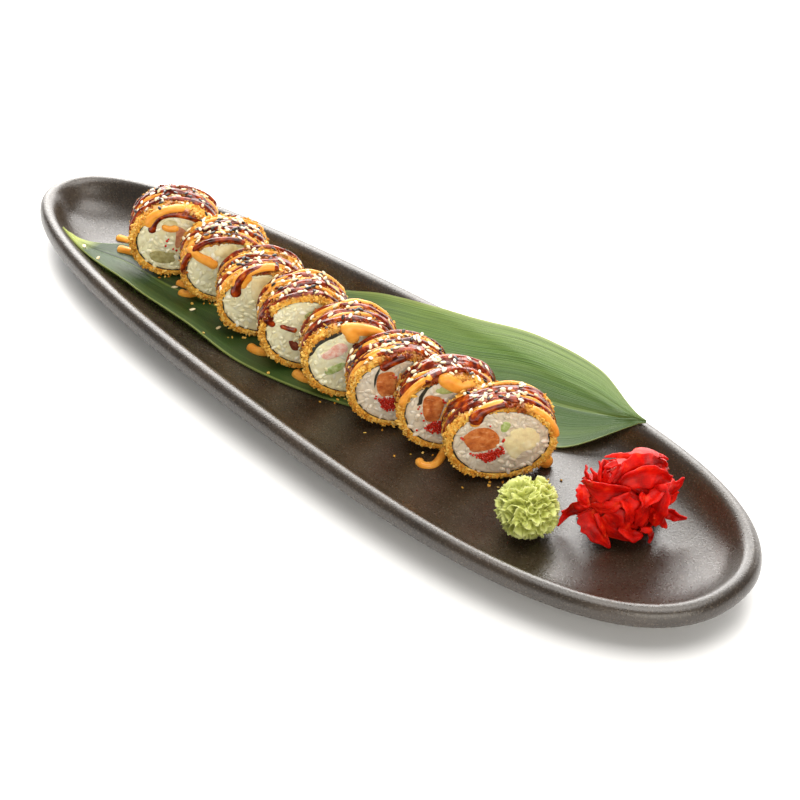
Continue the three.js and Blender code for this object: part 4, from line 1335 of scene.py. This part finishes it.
# %% [markdown]
# ## Green paste
# The paste was pressed through a star nozzle into a ball, which leaves frilled walls that fold
# over each other. Separate ribbons would need hundreds of parts, so a dense icosphere is
# pushed out along sharp winding ridges that stand as high as the frills.

# %% Shape the paste
PASTE_CENTRE, PASTE_RADIUS, PASTE_HEIGHT = (112.5, -17.5), 12.1, 24
FRILL, FINE_FRILL, SWELL = 2.1, 0.8, 1.3  # how far they stand out


def green_paste():
    bpy.ops.mesh.primitive_ico_sphere_add(subdivisions=7, radius=1)
    obj = added("green_paste_ball")
    unit = unit_long(points_of(obj) * MM)
    at = unit * PASTE_RADIUS
    warp = np.stack([lumps(at, 3.4, k) for k in (11, 12, 13)], axis=1)
    frill = np.clip(1 - np.abs(lumps(at + 2.6 * warp, 2.7, 14)) * 3.2, -0.2, 1)
    fine = np.clip(1 - np.abs(lumps(at + 1.8 * warp, 1.5, 15)) * 2.6, -0.3, 1)
    radius = PASTE_RADIUS - FRILL + FRILL * frill + FINE_FRILL * fine
    radius += SWELL * lumps(at, 8, 16)
    squash = PASTE_HEIGHT / 2 / PASTE_RADIUS
    floor = FLOOR_Z + 0.02
    out = unit * radius[:, None]
    x = PASTE_CENTRE[0] + out[:, 0]
    y = PASTE_CENTRE[1] + out[:, 1]
    z = floor + 0.4 + PASTE_HEIGHT / 2 + out[:, 2] * squash * 0.96
    place_points(obj, np.stack([x, y, np.maximum(z, floor)], axis=1))
    # How high each point stands in the frills, kept so the finish paints the crests lighter as a painted
    # highlight and the grooves darker as painted shade.
    keep_values(obj, "frill_painted_light", np.clip(frill * 0.6 + fine * 0.4, 0, 1))
    return edited(obj, face_out)


# %% Paste finish
def paste_green():
    finish = Finish("paste_green", Roughness=0.5, Subsurface_Weight=0.25, Subsurface_Scale=1.5 * MM)
    # Frill crests painted lighter (painted highlight) and grooves darker (painted shade); the noise adds
    # uneven tone.
    finish.paint(finish.ramp(finish.kept_and_noise("frill_painted_light", 0.75, finish.noise(2, 3), 0.25),
                             [(0.1, "93983a"), (0.4, "b8be62"), (0.75, "d0d485"), (1.0, "dde0a2")]))
    return finish.relief(finish.noise(0.5, 3), 0.06, 0.6)


finished(green_paste(), paste_green(), ["green_paste"])

# %% [markdown]
# ## Ginger
# Pickled ginger is shaved into thin wet slices that fold and cling in a heap. Sheets could be
# dropped in a pile by a cloth simulation, but then the heap loses its known outline and tips.
# So each slice is a flat grid bent by a rule. There are three kinds: slices that arch out from
# the middle at the back, sheets laid along lines of their own at the front, and small sheets
# that cling anywhere and close the gaps. One Solidify modifier gives them all their thickness
# and one Subdivision modifier their roundness, and a core fills the heap.

# %% Lines of the slices
GINGER_CENTRE, GINGER_THICKNESS = (134.5, 11.5), 0.8
# direction, reach, height at the root and the tip, half width, arch
BACK_SLICES = [
    (72, 19, 20, 24, 8, 6), (100, 16, 21, 19, 8, 8), (150, 17, 19, 6, 8, 5), (190, 18, 17, 14, 5, 3),
    (130, 19, 9, 1.6, 8, 5), (90, 20, 8, 1.6, 8, 5), (165, 19, 8, 1.6, 7, 5), (205, 17, 7, 1.6, 7, 4),
]
# the sheets seen from the front: points on the middle line to the right, away and up from the
# heap's foot, and half widths
FRONT_WAYS = np.array([[0.774, 0.633, 0], [-0.633, 0.774, 0], [0, 0, 1]])
FRONT_SHEETS = [
    ([(-4.6, -6.4, 29.4), (0.0, -2.0, 31.2), (5.7, 4.0, 30.4), (10.7, 7.8, 27.8), (14.7, 6.6, 26.2)],
     [1.5, 4.5, 5.5, 5, 3]),
    ([(-2.0, -7.8, 29.6), (1.9, -4.4, 31.6), (6.7, -0.7, 31.3), (12.7, 5.6, 25.3), (16.1, 5.4, 25.2)],
     [1, 3.2, 3.8, 3.2, 1.6]),
    ([(-1.8, -10.0, 27.7), (3.0, -8.6, 29.7), (7.9, -6.4, 29.4), (12.9, -2.7, 26.5), (17.3, 3.1, 20.7)],
     [1.5, 3.6, 4.2, 3.6, 2]),
    ([(-15.0, -4.8, 24.5), (-10.8, -9.7, 25.1), (-6.2, -11.7, 26.0), (-1.7, -12.0, 26.7),
      (2.8, -11.5, 26.6)], [0.3, 3.2, 4.2, 3.2, 0.8]),
    ([(-11.6, -11.9, 17.7), (-6.2, -14.8, 19.9), (-1.4, -14.7, 23.0), (2.5, -12.5, 25.8)],
     [1.0, 2.2, 2.4, 0.8]),
    ([(-13.4, -9.5, 17.7), (-16.7, -8.2, 14.2), (-20.9, -4.3, 6.9), (-24.2, -6.7, 2.8)],
     [2.6, 2.2, 1.5, 0.4]),
    ([(-13.7, -8.3, 13.5), (-17.1, -9.0, 14.8), (-20.5, -3.7, 8.0), (-23.0, -3.8, 7.9)],
     [1.6, 1.6, 1.0, 0.3]),
    ([(-13.6, -10.4, 13.6), (-11.3, -13.1, 11.1), (-8.0, -14.4, 6.5), (-3.5, -15.2, 0.8)],
     [3.6, 4.4, 3.4, 0.5]),
    ([(-9.4, -14.3, 16.6), (-7.9, -15.5, 12.3), (-5.0, -15.0, 5.7)], [0.9, 1.1, 0.4]),
    ([(-8.1, -13.4, 14.4), (-4.9, -14.7, 10.3), (-0.1, -14.9, 7.1), (5.4, -13.2, 4.1)],
     [3.5, 4.5, 4.2, 1.6]),
    ([(-1.1, -16.3, 11.5), (2.8, -16.1, 9.0), (6.1, -15.1, 7.9), (8.4, -13.6, 7.5)],
     [0.8, 2.0, 2.0, 0.3]),
    ([(7.6, -14.0, 10.4), (10.6, -12.7, 8.8), (11.8, -8.7, 2.9), (11.0, -10.5, 0.8)],
     [1.0, 1.3, 1.2, 0.3]),
    ([(-5.7, -14.1, 17.8), (-2.6, -15.3, 15.9), (-0.3, -15.8, 12.2), (2.8, -14.7, 7.3)],
     [2.5, 4, 3.5, 1.5]),
    ([(-0.2, -13.5, 24.3), (2.8, -14.7, 21.8), (3.9, -15.1, 18.4), (2.5, -15.7, 13.5)],
     [1.5, 3.2, 3.2, 1.5]),
    ([(6.6, -11.4, 25.4), (8.9, -12.4, 22.1), (8.8, -13.4, 17.6), (6.7, -14.2, 11.6)],
     [2, 3.6, 3.6, 1.6]),
    ([(12.7, -5.2, 25.3), (13.4, -8.3, 21.4), (12.9, -10.1, 16.3), (11.7, -10.0, 9.7)], [3, 4, 4, 1.5]),
    ([(6.3, -14.5, 19.3), (9.4, -12.5, 22.2), (13.2, -8.0, 23.8), (17.3, 2.7, 20.0)],
     [0.5, 2.0, 2.6, 1.5]),
    ([(13.4, -7.0, 20.4), (16.6, -3.7, 20.7), (19.9, 2.2, 19.0), (22.6, 3.7, 22.4)],
     [2.2, 3.6, 3.2, 0.5]),
    ([(13.6, -7.6, 18.7), (16.5, -5.5, 17.3), (19.0, -0.0, 14.8), (20.9, 1.2, 17.2)],
     [1.5, 2.4, 1.6, 0.4]),
    ([(14.6, -6.9, 15.0), (17.7, -2.4, 10.1), (21.2, -3.2, 8.9), (24.8, -3.5, 8.6)],
     [2.2, 2.8, 1.6, 0.3]),
    ([(12.2, -10.5, 15.5), (14.8, -8.2, 11.8), (16.4, -4.7, 5.8), (17.0, -5.4, 4.5)], [2, 2.4, 1.6, 0.4]),
    ([(-13.2, -4.3, 23.8), (-14.2, -2.2, 25.8), (-14.9, 1.3, 27.1)], [1.0, 0.8, 0.2]),
    ([(-11.3, -6.0, 25.3), (-11.4, -5.3, 27.9), (-12.6, -3.0, 29.2)], [1.0, 0.7, 0.2]),
    ([(-9.0, -7.4, 26.6), (-9.3, -5.7, 30.0), (-9.9, -2.6, 32.5)], [1.0, 0.7, 0.15]),
    ([(-6.9, -8.2, 27.4), (-7.0, -7.4, 29.4), (-6.7, -6.3, 31.2)], [1.2, 1.0, 0.3]),
    ([(2.4, 0.1, 33.4), (-1.3, -0.3, 33.9), (-4.6, -1.1, 34.0), (-7.9, -1.2, 33.3)],
     [1.2, 1.0, 0.7, 0.15]),
    ([(-2.8, -2.9, 32.6), (-5.3, -3.6, 32.2), (-8.1, -4.2, 31.0)], [1.6, 1.6, 0.4]),
    ([(-5.6, -9.7, 27.7), (-3.7, -7.8, 30.6), (-1.9, -4.3, 32.8)], [0.6, 1.0, 0.6]),
    ([(-3.9, -9.8, 27.9), (-1.7, -7.3, 30.9), (0.1, -3.8, 33.0)], [0.6, 1.2, 0.6]),
    ([(-15.7, -1.3, 19.6), (-15.4, -4.9, 18.6), (-14.8, -7.5, 17.1), (-12.5, -10.5, 16.5)],
     [1.2, 2.4, 2.4, 1]),
    ([(12.4, 7.5, 29.2), (14.1, 7.4, 29.1), (15.9, 6.8, 27.9)], [1.2, 1.2, 0.3]),
]
HEAP_MIDDLE, HEAP_RADII = np.array([0, 0, 14.0]), np.array([16.5, 15, 18.5])
FRONT_LEAN = [0, -0.65, 0.5]  # turns the sheets towards the front and up
CLINGING, CLING_LIFT = 46, 12.5  # number of clinging sheets, and the height they cling about
CORE_RADII, CORE_LIFT = [11, 10.5, 13.5], 12
print("slices of ginger:", len(BACK_SLICES) + len(FRONT_SHEETS) + CLINGING)


# %% Slices that arch out at the back
def slice_of_ginger(direction, reach, root, tip, half, arch, draw):
    obj, u, v = flat_sheet("slice", 16, 7)
    u = (u + 1) / 2
    u = u * (1 + 0.1 * lumps(np.stack([v * 3.5, 0 * v, 0 * v + direction], 1), 1, 5) * u)
    angle = math.radians(direction)
    r = 2 * u * (1 - u) * reach * 0.55 + u * u * reach + (1 - u) ** 2
    z = (1 - u) ** 2 * root + 2 * u * (1 - u) * (max(root, tip) + arch) + u * u * tip
    width = half * (0.2 + 0.8 * np.sin(np.pi * np.clip(0.2 + 0.8 * u, 0, 1)) ** 0.7)
    edge = 1 + 0.3 * lumps(np.stack([u * 7, np.sign(v) * 3, 0 * u + direction], 1), 1, 2)
    side = v * width * edge
    twist = draw.uniform(-0.7, 0.7) * u + draw.uniform(-0.25, 0.25)
    cup = draw.uniform(0.15, 0.42) * half
    z = z - cup * v * v * (1 - 0.5 * u) + side * np.sin(twist)
    side = side * np.cos(twist)
    x = GINGER_CENTRE[0] + r * math.cos(angle) - side * math.sin(angle)
    y = GINGER_CENTRE[1] + r * math.sin(angle) + side * math.cos(angle)
    at = np.stack([x, y, z + direction], axis=1)
    z = z + 1.3 * lumps(at, 6, 3) + 0.6 * lumps(at, 2.6, 4)
    place_points(obj, np.stack([x, y, FLOOR_Z + 0.1 + np.maximum(z, 0.5 + 0.1 * np.abs(v))], axis=1))
    return obj


# %% Sheets laid along a line of their own
def laid_sheet(line, halves, draw):
    """A sheet that lies on the heap along a line of its own, widest in its middle."""
    obj, u, v = flat_sheet("laid_sheet", 18, 7)
    share, line = (u + 1) / 2, np.array(line)

    def middle_at(share):
        return np.stack([along_curve(line[:, k], share) for k in range(3)], axis=1)

    middle = middle_at(share)
    ahead = middle_at(np.minimum(share + 0.03, 1)) - middle_at(np.maximum(share - 0.03, 0))
    out = 0.5 * unit_long((middle - HEAP_MIDDLE) / HEAP_RADII ** 2) + FRONT_LEAN
    side = unit_long(np.cross(ahead, out))
    out = unit_long(np.cross(side, ahead))
    tip = draw.choice([-1, 1]) * draw.uniform(0.25, 0.85)
    side, out = side * math.cos(tip) + out * math.sin(tip), out * math.cos(tip) - side * math.sin(tip)
    seed = 60 * line[0, :1]
    edge = 1.1 + 0.25 * lumps(np.stack([u * 5, np.sign(v) * 4, 0 * u + seed], 1), 1, 26)
    across = v * along_curve(halves, share) * edge
    cup, twist = draw.uniform(-0.14, 0.1), draw.uniform(-0.3, 0.3)
    fold = 0.35 * np.sin(draw.uniform(3, 6) * v + draw.uniform(0, 6))
    fold = fold * np.minimum(1, along_curve(halves, share) / 3)
    lift = cup * across ** 2 + twist * across * u + fold
    points = middle + side * across[:, None] + out * lift[:, None]
    points += out * (0.7 * lumps(points + seed, 4, 27) + 0.3 * lumps(points + seed, 1.8, 28))[:, None]
    points[:, 2] = np.maximum(points[:, 2], 0.5)
    place_points(obj, points @ FRONT_WAYS + [*GINGER_CENTRE, FLOOR_Z])
    return obj


# %% Sheets that cling anywhere
def folded_sheet(out, away, along, length, width, draw):
    """A thin wet sheet that clings to the heap at a point and direction of its own."""
    obj, u, v = flat_sheet("sheet", 14, 6)
    ragged = 1 + 0.2 * lumps(np.stack([v * 3, 0 * v, 0 * v + 90 * out[0]], 1), 1, 21) * np.abs(u)
    taper = np.clip(1 - np.abs(u) ** 1.8, 0, 1) ** 0.8 * 0.9 + 0.1
    edge = 1 + 0.22 * lumps(np.stack([u * 5, np.sign(v) * 4, 0 * u + 70 * out[1]], 1), 1, 22)
    a, b = u * length * ragged, v * width * taper * edge
    bend, twist, cup = draw.uniform(0.5, 1.3), draw.uniform(-0.1, 0.1), draw.uniform(-0.06, 0.1)
    lift = away - bend * a ** 2 / 22 + twist * a * b + cup * b ** 2 + draw.uniform(-0.6, 0.6) * b
    side = np.cross(out, along)
    points = np.outer(lift, out) + np.outer(a, along) + np.outer(b, side)
    points += [*GINGER_CENTRE, FLOOR_Z + CLING_LIFT]
    points[:, 2] += 0.7 * lumps(points + 40 * out, 5, 23) + 0.35 * lumps(points + 40 * out, 2, 24)
    points[:, 2] = np.maximum(points[:, 2], FLOOR_Z + 0.6)
    place_points(obj, points)
    return obj


# %% Heap the slices on a core
def ginger():
    draw = np.random.default_rng(8)
    made = [slice_of_ginger(*shape, draw) for shape in BACK_SLICES]
    made += [laid_sheet(*shape, draw) for shape in FRONT_SHEETS]
    for _ in range(CLINGING):
        turn, rise = draw.uniform(0, 2 * np.pi), math.asin(draw.uniform(-0.5, 1))
        out = np.array([math.cos(turn) * math.cos(rise), math.sin(turn) * math.cos(rise), math.sin(rise)])
        along = unit_long(np.cross(out, draw.normal(size=3)))
        away = 1 / math.hypot(math.cos(rise) / 12.8, math.sin(rise) / 15.8) + draw.uniform(-1.8, 0.6)
        made.append(folded_sheet(out, away, along, draw.uniform(8, 13.5), draw.uniform(2.6, 4.8), draw))
    heap = joined(made, "ginger_slices")
    applied(heap, "SOLIDIFY", thickness=GINGER_THICKNESS * MM, offset=0)
    applied(heap, "SUBSURF", levels=1, render_levels=1)
    bpy.ops.mesh.primitive_ico_sphere_add(subdivisions=4, radius=1)
    core = added("core")
    unit = points_of(core) * MM
    place = unit * CORE_RADII * (1 + 0.12 * lumps(unit, 0.5, 1))[:, None]
    place += [*GINGER_CENTRE, FLOOR_Z + CORE_LIFT]
    place[:, 2] = np.maximum(place[:, 2], FLOOR_Z + 0.1)
    place_points(core, place)
    return joined([heap, core], "ginger_slices")


# %% Ginger finish
def ginger_red():
    finish = Finish("ginger_red", Roughness=0.36, Specular_IOR_Level=0.13, Subsurface_Weight=0.3,
                    Subsurface_Scale=2.5 * MM)
    finish.shader.inputs["Subsurface Radius"].default_value = (1, 0.15, 0.08)
    fibre = finish.noise(1, 3, 0.6, (2, 26, 1), "UV")
    body = finish.ramp(finish.noise(6, 3, 0.6), [(0.3, "820100"), (0.46, "b20402"), (0.6, "d01205"),
                                                 (0.77, "f04a22")])
    finish.paint(finish.tinted(body, finish.mask(fibre, 0.5, 0.72), 0.35, "e84020"))
    return finish.relief(fibre, 0.15, 0.7)


finished(ginger(), ginger_red(), ["ginger"])

# %% [markdown]
# ## Floor, light and camera
# The dish stands on a white table under soft studio light. The strongest light stands behind
# the dish and faces the camera: it gives the sheen on the glaze and the shadow towards the
# front. A long low light to its right and a small one to its left widen that sheen. A wide
# light overhead and a weaker one in front keep the shadows pale and show the cut faces.

# %% Floor
def table():
    bpy.ops.mesh.primitive_plane_add(size=6, location=(0, 0, 0))
    obj = added("table_top")
    finish = Finish("table_white", Roughness=0.6)
    finish.paint(finish.ramp(finish.noise(60, 2), [(0.3, "f4f4f4"), (0.7, "f8f8f8")]))
    obj.data.materials.append(finish.material)
    print("table:", obj.name)


table()


# %% Lights
def facing(way):
    """Turn that points a light's or a camera's view along a direction."""
    way = unit_long(np.array(way, float))
    return (math.acos(-way[2]), 0, math.atan2(way[1], way[0]) - math.pi / 2)


def soft_light(name, place, target, size, power, tint):
    bpy.ops.object.light_add(type="AREA", location=place)
    lamp = bpy.context.object
    lamp.name = name
    lamp.data.shape = "RECTANGLE"
    lamp.data.size, lamp.data.size_y = size
    lamp.data.energy = power
    lamp.data.color = tint
    lamp.rotation_euler = facing(np.subtract(target, place))
    print("light:", name, power, "watts")


soft_light("back", (-0.9, 0.88, 0.9), (0, 0, 0.02), (1.6, 0.8), 34, (1, 0.98, 0.95))
soft_light("backdrop", (-0.55, 1.45, 0.4), (0.1, 0, 0.02), (2.2, 0.6), 16, (1, 0.98, 0.96))
soft_light("low_back", (-1.3, 0.5, 0.38), (0.05, 0, 0.02), (0.8, 0.5), 9, (1, 0.98, 0.95))
soft_light("overhead", (0.1, 0.1, 1.5), (0, 0, 0), (1.4, 1.4), 27, (1, 0.97, 0.93))
soft_light("front", (1.35, -0.85, 0.6), (0, 0, 0.02), (1.6, 1.0), 19, (1, 0.95, 0.86))
world = bpy.data.worlds.new("studio")
bpy.context.scene.world = world
world.use_nodes = True
background = world.node_tree.nodes["Background"].inputs
background["Color"].default_value = (0.94, 0.98, 1, 1)
background["Strength"].default_value = 0.3
bpy.context.scene.view_settings.view_transform = "Standard"

# %% Camera
CAMERA_PLACE = (0.59879, -0.55572, 0.60362)
CAMERA_TARGET = (0.03087, -0.00614, 0.02)
CAMERA_ANGLE = math.radians(18.523)
bpy.ops.object.camera_add(location=CAMERA_PLACE)
camera = bpy.context.object
camera.rotation_euler = facing(np.subtract(CAMERA_TARGET, CAMERA_PLACE))
camera.data.sensor_width = 36
camera.data.angle = CAMERA_ANGLE
camera.data.clip_end = 20
bpy.context.scene.camera = camera
print("camera:", CAMERA_PLACE, "looks at", CAMERA_TARGET)
